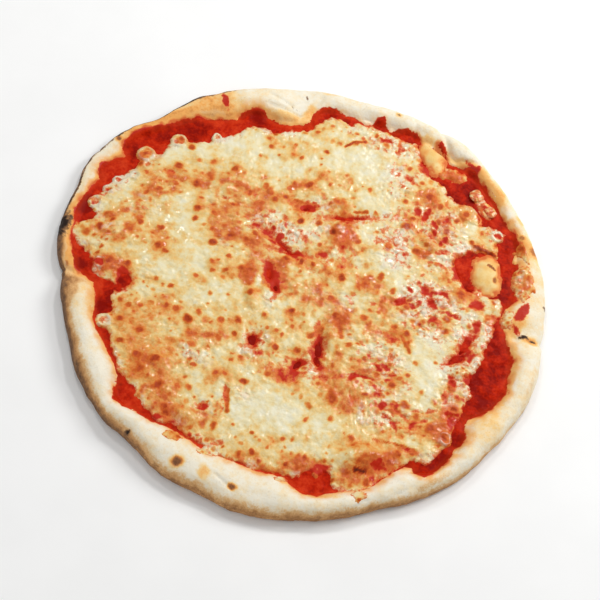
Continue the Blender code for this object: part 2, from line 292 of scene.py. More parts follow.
def sauceDepth(x, y):
    # how far inside the red border a place is, with its small lobes
    return depthInside(outlines["sauce"], x, y) + waves(x, y, ((0.9, 6, 29), (0.5, 2.6, 32)))


def farthestInside(depth, low, high, step=0.5):
    # for each direction, how far out a depth field is still above 0
    theta = np.radians(compass)
    radii = np.arange(low, high, step)
    r, t = np.meshgrid(radii, theta)
    inside = depth(*across(r, t)) > 0
    return low + step * (len(radii) - 1 - np.argmax(inside[:, ::-1], axis=1))


# crust
crustLook = {
    "steps": 720, "floorRings": 34, "rimRings": 64, "soleRings": 6,
    "floorStart": 94.0, "capRadius": 60.0, "narrowest": 12.0,
    "slope": ((0, 0), (.1, .36), (.26, .76), (.48, 1), (.7, .95), (.86, .72)),
    "wall": ((.96, .62), (1, .36), (.975, .14)),
    "undercut": (4.5, 0.6), "foot": 7.5, "roundScale": 150,
    # gap from the red border to the rim's foot, and the dough's bank there (height, share of the rim)
    "footGap": 1.5, "bank": (1.9, 0.3), "innerPart": 0.6,
    # grid on which the finished dough's height is kept, in mm from the middle
    "gridEnd": 158, "gridStep": 0.5,
    # folds and cracks in the rim: x0, y0, x1, y1, half width, depth
    "folds": (
        (-52, 132, -36, 127, 1.2, .8), (-36, 127, -28, 134, 1, .6), (-26, 122, -19, 140, 2.2, 1.2),
        (61, 141, 71, 122, 1.6, 1.5), (71, 120, 90, 121, 1.4, .9), (-144, -28, -120, -31, 1.4, 1.6),
        (-20, -133, -9, -139, .8, .8), (-94, 112, -70, 118, 3, .6), (-145, 60, -131, 66, 1.2, .7),
        (-150, 2, -142, -8, 1.6, 1), (126, 3, 149, 6, 1.8, 1.4), (-110, -90, -93, -115, 1.6, .5),
        (30, -147, 32, -138, .8, .4), (60, -131, 66, -125, .9, .5), (-50, 124, -27, 122, 1.2, .7),
        (43, 143, 45, 133, 1.2, .5), (60, 143, 58, 134, 1, .4), (82, -117, 90, -110, 1.4, .4)),
    # soft swellings on the rim: x, y, half length, half width, turn, height
    "swells": (
        (76, 130, 15, 9, -35, 1.6), (-38, 120, 12, 4.5, 4, 1.2), (-86, 108, 13, 7, 30, -1.3),
        (139, 5, 9, 3.5, 12, 1), (-134, -40, 11, 8, 80, 1.1), (129, 72, 10, 6, -50, .8),
        (-137, 62, 7, 6, 60, .9), (20, -138, 14, 7, 5, .6), (-60, -125, 16, 8, -25, .6),
        (51, 138, 7, 5, 0, .9), (15, 141, 9, 5, 0, .5), (105, -85, 12, 6, 50, .5)),
    # how far the baking has gone, by angle: outer wall, top, inner slope
    "wallBake": (
        (0, .28), (30, .24), (60, .14), (100, .14), (118, .6), (140, .9), (165, 1.1), (195, 1.1),
        (215, .94), (234, .82), (250, .74), (270, .7), (300, .66), (326, .58)),
    "topBake": (
        (0, .1), (10, .12), (24, .16), (32, .14), (42, .1), (60, .05), (96, .04), (104, .06), (117, .08),
        (122, .34), (127, .38), (148, .38), (153, .16), (158, .05), (166, .1), (172, .26), (178, .44),
        (188, .46), (196, .3), (204, .1), (215, .03), (250, .04), (300, .04), (340, .08)),
    "slopeBake": (
        (0, .3), (20, .34), (45, .36), (62, .12), (80, .1), (95, .14), (100, .3), (112, .36), (125, .42),
        (150, .42), (165, .42), (176, .44), (190, .34), (205, .2), (230, .12), (260, .1), (290, .14),
        (310, .16), (330, .24)),
    # where the wall's browning starts, as a share of the way from the dish over the rim
    "wallStart": (
        (0, .54), (100, .58), (125, .5), (180, .4), (200, .34), (230, .34), (250, .4), (300, .38),
        (330, .44)),
    # charring on the outer wall, how high it starts there, and how much oil stains the border
    "edgeBurn": (
        (100, 0), (118, .3), (128, .8), (148, .95), (152, .6), (160, .75), (176, 1), (192, .7), (215, .38),
        (240, .18), (300, .12), (350, 0)),
    "burnFrom": ((100, .56), (128, .46), (176, .46), (200, .54), (230, .56), (350, .6)),
    "oilStain": (
        (0, 1), (30, 1.1), (55, .8), (62, .35), (100, .35), (108, .9), (130, 1.2), (180, 1), (200, .9),
        (220, .6), (240, .5), (275, .8), (300, .7), (330, 1)),
    # charred places: x, y, half length, half width, turn, strength
    "chars": (
        (-150, -1, 11, 7.5, 88, 1), (-146, -20, 12, 3.5, 100, .5), (-136, 74, 5, 2.4, 40, .9),
        (-73, -121, 2.2, 1.4, 25, .95), (147, 31, 1.4, 2.6, 80, .85), (32, 142, 1.5, 1.7, 0, .5),
        (137, 6.5, 3.6, 1.3, 30, 1), (143, 5, 6, .8, -12, .85), (-28, 138, 1, 2.2, 10, .5),
        (-36, 127, 6, .5, -20, .3)),
    # soft brown places: x, y, half length, half width, turn, strength
    "tans": (
        (-138, -41, 14, 14, 76, .84), (-147, -18, 16, 6.5, 101, .95), (-133, -35, 13, 5, 8, .6),
        # (-101, -104) is browning and painted shade along a crease in the wall; (-86, 104) is painted
        # shade in the rim's hollow
        (-133, -56, 12, 5, 60, .74), (-151, 2, 14, 5, 92, .95), (-101, -104, 16, 2.4, -52, .62),
        (-86, 104, 13, 4.8, 20, .62), (-120, -78, 18, 4, -62, .5), (146, -30, 26, 3, 84, .26),
        (100, -104, 22, 3.6, 46, .34)),
    # toasted spots and glazed places: x, y, half length, half width, turn, strength
    "toasts": (
        (134, 68, 4.6, 3.6, 20, .68), (126, -63, 12, 8, 55, .22), (122, 88, 5, 2.4, -50, .3),
        (125, 75, 2.8, 2.4, -40, .7), (106, 103, 5, 2.8, -40, .5), (126, 67, 3, 3.6, 0, .7),
        (134, 46, 3.4, 2.8, 0, .6), (129, 38, 2.6, 2, 0, .66), (-42, -132, 4.6, 4.4, 0, .56),
        (-42, -132, 3, 3.2, 0, .86), (-26, -134, 4.2, 5, 0, .36), (-8.5, -138, 3.2, 2.4, 10, .8),
        (142, 5, 6, 3, -10, .5), (-68, 134, 5, 2.6, 30, .3), (-15, 146, 6, 3.2, 0, .26),
        (-134, 71, 2.6, 2.4, 0, .8), (-137, -20, 2.4, 2.2, 0, .6), (-139, -26, 2.2, 2, 0, .7),
        (32, 142, 3, 2.6, 0, .4), (89, 82, 2, 1.8, 0, .72), (96, 78, 2.2, 1.4, 30, .62),
        (128, 69, 12, 7, -30, .4), (132, 15, 11, 5, 78, .42), (131, 45, 14, 6, 100, .34),
        (126, -54, 10, 8, 40, .28), (97, 43, 3.5, 13, 14, .44), (105, 28, 9, 3, 0, .4),
        (117, 36, 3, 11, 10, .4), (107, 58, 8, 2.5, 0, .48), (64, 111, 5, 3, 60, .46),
        (56, 112, 2, 10, 30, .48), (91, 78, 9, 2, -28, .5), (54, 130, 6, 4, 0, .34),
        (132, -24, 22, 4, 86, .34), (-38, 119.5, 13, 3.6, 4, .34), (-24, 128, 8, 3, 70, .4),
        (-78, 107, 14, 3.5, 12, .6), (105, 105, 10, 4, -45, .3), (40, -128, 14, 2.5, 8, .26),
        (-48, -118, 3.4, 2.2, 0, .44), (-27, -120, 4, 2.6, 20, .44), (17, -125, 4, 2, 0, .3),
        (-112, 92, 26, 3, 38, .36), (72, 110, 8, 4, 10, .4), (110, 49, 4, 1.3, -25, .95),
        (113.5, 40.5, 2.2, 2.6, 0, .76), (80, 120, 13, 2.6, -5, .32), (95, 112, 9, 3.4, -50, .42),
        (106, 101, 8, 4, -50, .46), (-124, 84, 20, 3, 40, .4), (-106, 97, 22, 3.4, 38, .52),
        (-78, 112, 8, 4, 20, .5)),
    # sauce smeared on the dough: x, y, half length, half width, turn
    "smears": (
        (-77.5, 117.5, 5.6, 1.9, -62), (133.5, 22, 7, 3.2, 68), (132, 10, 4, 1.4, -50),
        (84.5, 119, 3.8, 1.3, -25), (88.5, 115.5, 1.9, 3.8, -15)),
}


def profilePoints():
    # (share across, share up, on the wall) from the dish floor over the crown to the wall's foot
    return [(a, b, 0) for a, b in crustLook["slope"]] + [(a, b, 1) for a, b in crustLook["wall"]]


def crustRings(degrees, foot):
    # radius and height (mm) of every ring at these angles, from the dish over the rim to the sole
    edge, crown = (aroundRing(rim[k], degrees) for k in ("edge", "crown"))
    base = levels["floor"]
    radii, heights = [], []
    for k in range(crustLook["floorRings"]):
        share = k / crustLook["floorRings"]
        radii.append(crustLook["floorStart"] + (foot - crustLook["floorStart"]) * share)
        heights.append(np.full_like(foot, base))
    knotsR, knotsZ = [], []
    for outward, up, onWall in profilePoints():
        knotsR.append(foot + (edge - foot) * outward)
        knotsZ.append(crown * up if onWall else base + (crown - base) * up)
    knotsR += [edge - crustLook["undercut"][0], edge - crustLook["foot"]]
    knotsZ += [np.full_like(foot, crustLook["undercut"][1]), np.zeros_like(foot)]
    knotsR, knotsZ = np.array(knotsR), np.array(knotsZ)
    length = np.hypot(np.diff(knotsR, axis=0), np.diff(knotsZ, axis=0)).mean(axis=1)
    reach = np.concatenate([[0], np.cumsum(length)])
    for place in np.linspace(0, reach[-1], crustLook["rimRings"]):
        i = min(np.searchsorted(reach, place, side="right") - 1, len(reach) - 2)
        f = (place - reach[i]) / (reach[i + 1] - reach[i])
        for knots, out in ((knotsR, radii), (knotsZ, heights)):
            before, after = knots[max(i - 1, 0)], knots[min(i + 2, len(reach) - 1)]
            out.append(curve(before, knots[i], knots[i + 1], after, f))
    for k in range(1, crustLook["soleRings"]):
        share = k / crustLook["soleRings"]
        outside = edge - crustLook["foot"]
        radii.append(outside + (crustLook["capRadius"] - outside) * share)
        heights.append(np.zeros_like(foot))
    return np.array(radii), np.clip(np.array(heights), 0, None)


def crustTube(steps, ringCount):
    # a tube of even rings, closed in the middle above and below
    pickNothing()
    bpy.ops.mesh.primitive_cylinder_add(vertices=steps, radius=0.15, depth=2.0,
                                        end_fill_type="NOTHING", location=(0, 0, 0))
    crust = bpy.context.object
    crust.name = "bakedCrust"
    bpy.ops.object.mode_set(mode="EDIT")
    bpy.ops.mesh.select_mode(type="EDGE")
    bpy.ops.mesh.select_all(action="DESELECT")
    shape = bmesh.from_edit_mesh(crust.data)
    for edge in shape.edges:
        edge.select_set(abs(edge.verts[0].co.z - edge.verts[1].co.z) > 1)
    bmesh.update_edit_mesh(crust.data)
    bpy.ops.mesh.subdivide(number_cuts=ringCount - 2)
    for level in (1.0, -1.0):
        bpy.ops.mesh.select_all(action="DESELECT")
        shape = bmesh.from_edit_mesh(crust.data)
        for edge in shape.edges:
            edge.select_set(all(abs(v.co.z - level) < 1e-5 for v in edge.verts))
        bmesh.update_edit_mesh(crust.data)
        bpy.ops.mesh.edge_face_add()
    bpy.ops.object.mode_set(mode="OBJECT")
    return crust


def rimRelief(x, y, z, along, share):
    # soft hills, wrinkles, folds and swellings (mm), none at the rim's ends
    lift = waves(x, y, ((0.42, 16, 11), (0.34, 7, 12))) + 0.12 * soft(x, y + 2 * z, 2.6, 13)
    lift += 0.26 * soft(along, z * 3, 9, 14) * smooth(0.5, 0.7, share) - 0.25
    for fold in crustLook["folds"]:
        lift -= fold[5] * np.exp(-(toLine(x, y, fold) / fold[4]) ** 2)
    for place in crustLook["swells"]:
        lift += place[5] * dome(inOval(x, y, place))
    fade = smooth(0.0, 0.12, share) * (1 - smooth(0.86, 0.97, share))
    return lift * fade


def paintCrust(crust, x, y, z, theta, share, inSauce, onRim, onFloor):
    # how baked, charred and stained each place is, and the painted shade in a hollow and along a crease of
    # the rim
    deg, along = np.degrees(theta) % 360, theta * crustLook["roundScale"]
    wallStart = byAngle(crustLook["wallStart"], deg) + 0.03 * soft(x, y, 12, 16) + 0.02 * soft(x, y, 4, 17)
    wallPart = smooth(wallStart, wallStart + 0.34, share)
    tan = wallPart * (byAngle(crustLook["wallBake"], deg) + 0.14 * soft(along, z * 2, 7, 23)
                      + 0.10 * soft(along, z * 2, 2.4, 19))
    # brown places, with painted shade in a hollow and along a crease of the rim
    tans = patches(x, y, crustLook["tans"], 0.20 * soft(x, y, 6, 18), 0.25, 1.25)
    tan = np.maximum(tan, tans * (0.92 + 0.16 * soft(x, y, 3, 20)))
    slopePart = 1 - smooth(0.06, 0.26, share)
    bake = byAngle(crustLook["topBake"], deg) * (1 - slopePart)
    bake += byAngle(crustLook["slopeBake"], deg) * slopePart
    bake += 0.09 * layered(x, y + z, 14, 21) + 0.05 * soft(x, y + z, 4, 24)
    wobble = waves(x, y, ((0.22, 5, 25), (0.14, 2.4, 22)))
    for place in crustLook["toasts"]:
        inside = 1 - smooth(0.45, 1.25, inOval(x, y, place) + wobble)
        bake = np.where(place[5] > bake, bake + (place[5] - bake) * inside, bake)
    wobble = waves(x, y, ((0.30, 5, 26), (0.15, 2, 27)))
    char = patches(x, y, crustLook["chars"], wobble, 0.35, 1.15)
    burnFrom = byAngle(crustLook["burnFrom"], deg)
    burnt = byAngle(crustLook["edgeBurn"], deg)
    burnt = burnt * smooth(burnFrom, burnFrom + 0.07, share + 0.02 * soft(x, y, 5, 31))
    char = np.maximum(char, burnt * (0.75 + 0.6 * soft(along, z * 2, 8, 28)))
    stain = np.exp(-np.maximum(-inSauce, 0) / 3.0) * (0.85 + 0.6 * soft(x, y, 5, 33))
    stain *= byAngle(crustLook["oilStain"], deg)
    film = np.where(share < 0.7, np.clip(inSauce / 2.0, -1, 1), -1.0)
    for place in crustLook["smears"]:
        inset = (1 - inOval(x, y, place)) * min(place[2], place[3]) * 0.4 + 0.22 * soft(x, y, 3.5, 30)
        film = np.maximum(film, np.clip(inset, -1, 1))
    # the glaze that the sauce leaves stays off the blisters
    swell = blisterRise(x, y)
    film = np.where(swell > 0.8, -1.0, film)
    stain *= 1 - smooth(0.3, 1.4, swell)
    edging = 1 - smooth(1.6, 4.4, swell + 1.6 * soft(x, y, 6, 36))
    edging *= smooth(-2.5, 0.5, inSauce)
    stain = np.maximum(stain, 0.95 * smooth(0.1, 1.0, swell) * edging)
    stain *= 1 - smooth(0.5, 0.8, bake)
    paint(crust, bake=bake, tan=tan, char=np.where(z > 0.3, char, char * 0.5),
          stain=np.where(onRim | onFloor, stain, 0), film=film, sole=smooth(0.88, 0.98, share),
          blister=np.where(onFloor, smooth(0.4, 2.4, swell), 0))
    smoothFaces(crust)


def keepHeights(column, ring, r, z):
    # height of the finished dough on an even grid of angle and radius, for what lies on it
    span = np.arange(crustLook["floorStart"], crustLook["gridEnd"], crustLook["gridStep"])
    table = np.zeros((crustLook["steps"], len(span)))
    inner = ring < crustLook["floorRings"] + int(crustLook["innerPart"] * crustLook["rimRings"])
    for k in range(crustLook["steps"]):
        mine = np.flatnonzero((column == k) & inner)
        mine = mine[np.argsort(r[mine])]
        table[k] = np.interp(span, r[mine], z[mine])
    crustLook["top"] = table


def makeCrust():
    steps = crustLook["steps"]
    degrees = np.arange(steps) * 360 / steps
    reach = farthestInside(lambda x, y: depthInside(outlines["sauce"], x, y), 100, 148)
    outer = aroundRing(rim["edge"], degrees)
    foot = np.minimum(evened(reach, 8) - crustLook["footGap"], outer - crustLook["narrowest"])
    radii, heights = crustRings(degrees, foot)
    ringCount = len(radii)
    crust = crustTube(steps, ringCount)
    start = readPoints(crust) * mm
    ring = np.round((1.0 - start[:, 2]) / 2.0 * (ringCount - 1)).astype(int)
    angle = np.degrees(np.arctan2(start[:, 1], start[:, 0])) % 360
    column = np.round(angle / 360 * steps).astype(int) % steps
    r, z = radii[ring, column], heights[ring, column]
    theta = np.radians(degrees[column])

    # outward direction of the section, for the relief
    slopeR, slopeZ = np.gradient(radii, axis=0), np.gradient(heights, axis=0)
    steep = np.maximum(np.hypot(slopeR, slopeZ), 1e-6)
    outR, outZ = (-slopeZ / steep)[ring, column], (slopeR / steep)[ring, column]
    first = crustLook["floorRings"]
    last = first + crustLook["rimRings"]
    share = np.clip((ring - first) / crustLook["rimRings"], 0, 1)
    onRim = (ring >= first) & (ring < last)
    onFloor = ring < first
    x, y = across(r, theta)
    lift = np.where(onRim, rimRelief(x, y, z, theta * crustLook["roundScale"], share), 0)
    r = r + lift * outR
    z = z + lift * outZ
    # the dough comes up through the sauce along the red border and at the blisters
    inSauce = sauceDepth(x, y)
    rise, part = crustLook["bank"]
    bank = levels["floor"] + rise * smooth(1.2, -1.6, inSauce) + 0.15 * soft(x, y, 4, 15)
    z = np.where(onFloor | (onRim & (share < part)), np.maximum(z, bank * (share < part)), z)
    z = np.where(onFloor, np.maximum(z, levels["floor"] + blisterRise(x, y)), z)
    z = np.where(ring >= last, 0.0, np.maximum(z, 0.0))
    x, y = across(r, theta)
    writePoints(crust, np.stack([x, y, z], 1))
    paintCrust(crust, x, y, z, theta, share, inSauce, onRim, onFloor)
    keepHeights(column, ring, r, z)
    print("crust made:", len(crust.data.polygons), "faces")
    return crust


def doughTop(x, y):
    # height of the finished dough, from that grid
    place = np.round(np.degrees(np.arctan2(y, x)) % 360 / 360 * crustLook["steps"]).astype(int)
    last = crustLook["top"].shape[1] - 1
    step = np.clip((np.hypot(x, y) - crustLook["floorStart"]) / crustLook["gridStep"], 0, last)
    low = np.minimum(np.floor(step).astype(int), last - 1)
    rows = crustLook["top"][place % crustLook["steps"]]
    here = np.take_along_axis(rows, low[:, None], 1)[:, 0]
    beyond = np.take_along_axis(rows, low[:, None] + 1, 1)[:, 0]
    return here + (beyond - here) * (step - low)


# round sheets for the sauce and the cheese
def makeSheet(name, cells):
    # a square grid with a skirt and a floor, for fillDisc to bend into a disc
    pickNothing()
    bpy.ops.mesh.primitive_grid_add(x_subdivisions=cells, y_subdivisions=cells, size=2, location=(0, 0, 0))
    sheet = bpy.context.object
    sheet.name = name
    bpy.ops.object.mode_set(mode="EDIT")
    bpy.ops.mesh.select_mode(type="EDGE")
    bpy.ops.mesh.select_all(action="SELECT")
    bpy.ops.mesh.region_to_loop()
    bpy.ops.mesh.extrude_region_move(TRANSFORM_OT_translate={"value": (0, 0, -1)})
    bpy.ops.mesh.edge_face_add()
    bpy.ops.mesh.select_all(action="SELECT")
    bpy.ops.mesh.normals_make_consistent(inside=False)
    bpy.ops.object.mode_set(mode="OBJECT")
    return sheet


def fillDisc(sheet, reach):
    # square to an uneven disc, area kept: x, y, share of the reach, and which points are the floor
    points = readPoints(sheet) * mm
    a, b = points[:, 0], points[:, 1]
    wide = np.abs(a) >= np.abs(b)
    radius = np.where(wide, a, b)
    ratio = np.where(wide, b / np.where(a == 0, 1, a), a / np.where(b == 0, 1, b))
    theta = np.where(wide, ratio * np.pi / 4, np.pi / 2 - ratio * np.pi / 4)
    theta = np.where(radius < 0, theta + np.pi, theta)
    share = np.abs(radius)
    r = share * np.interp(np.degrees(theta) % 360, compass, reach, period=360)
    return *across(r, theta), share, points[:, 2] < -0.5


# tomato sauce
sauceLook = {
    # in mm: thickness on the rim, how far it hides in the dough, how far past the border it reaches
    "cells": 250, "film": 0.35, "tuck": 0.3, "sunk": 0.4, "beyond": 1.5, "fromEdge": 6,
    "waves": ((.34, 13, 41), (.24, 6, 42), (.09, 2.6, 43)),
    # darker places: x, y, half length, half width, turn; the first four, under the cheese's windows, are
    # painted shade
    "dark": (
        (19, -39, 12, 8, 90), (10, -51, 6, 5, 0), (-15, -4, 7, 5, -60), (-20, -42, 6, 6, 0),
        (-110, -42, 16, 8, 80), (-103, -27, 6, 5, 0), (-131, -22, 9, 5, -30), (-139, 20, 12, 6, 80)),
}


def sauceTop(x, y):
    pulp = 0.24 * smooth(0.25, 0.7, soft(x, y, 3.4, 44))
    return levels["sauce"] + waves(x, y, sauceLook["waves"]) + pulp - 0.15


def makeSauce():
    sauce = makeSheet("tomatoSauce", sauceLook["cells"])
    beyond = sauceLook["beyond"]
    reach = farthestInside(lambda x, y: depthInside(outlines["sauce"], x, y) + beyond, 100, 150)
    reach = np.minimum(evened(reach, 5), aroundRing(rim["edge"], compass) - sauceLook["fromEdge"])
    x, y, share, below = fillDisc(sauce, reach)
    inside = sauceDepth(x, y)
    dough = doughTop(x, y)
    # a film where the sauce climbs the rim, and nothing beyond the border or on the blisters
    film = dough + sauceLook["film"] * smooth(0, 1.5, inside)
    top = np.maximum(sauceTop(x, y) - 0.5 * (1 - smooth(0, 3, inside)), film)
    bare = (inside < -0.3) | (blisterRise(x, y) > 1.2)
    top = np.where(bare, np.minimum(top, dough - sauceLook["tuck"]), top)
    top = np.where(share > 0.999, dough - 2 * sauceLook["tuck"], top)
    z = np.where(below, levels["floor"] - sauceLook["sunk"], top)
    writePoints(sauce, np.stack([x, y, z], 1))
    wave = sauceTop(x, y) - levels["sauce"]
    # darker towards the right and lighter towards the left, mostly on the near half: painted shade from
    # the right rim
    shade = 0.46 + 0.16 * x / 120 * (1 - 0.9 * smooth(0, 60, y)) + 0.3 * soft(x, y, 22, 46)
    shade -= 0.22 * smooth(-95, -118, y)
    # darker places; under the cheese's windows they are painted shade
    for darkPlace in sauceLook["dark"]:
        shade += 0.6 * dome(inOval(x, y, darkPlace))
    paint(sauce, deep=np.clip(shade - 0.6 * wave + 0.16 * soft(x, y, 5, 47), 0, 1),
          rimward=1 - smooth(-0.5, 4.5, inside + 1.5 * soft(x, y, 7, 45)))
    smoothFaces(sauce)
    print("sauce made:", len(sauce.data.polygons), "faces")
    return sauce


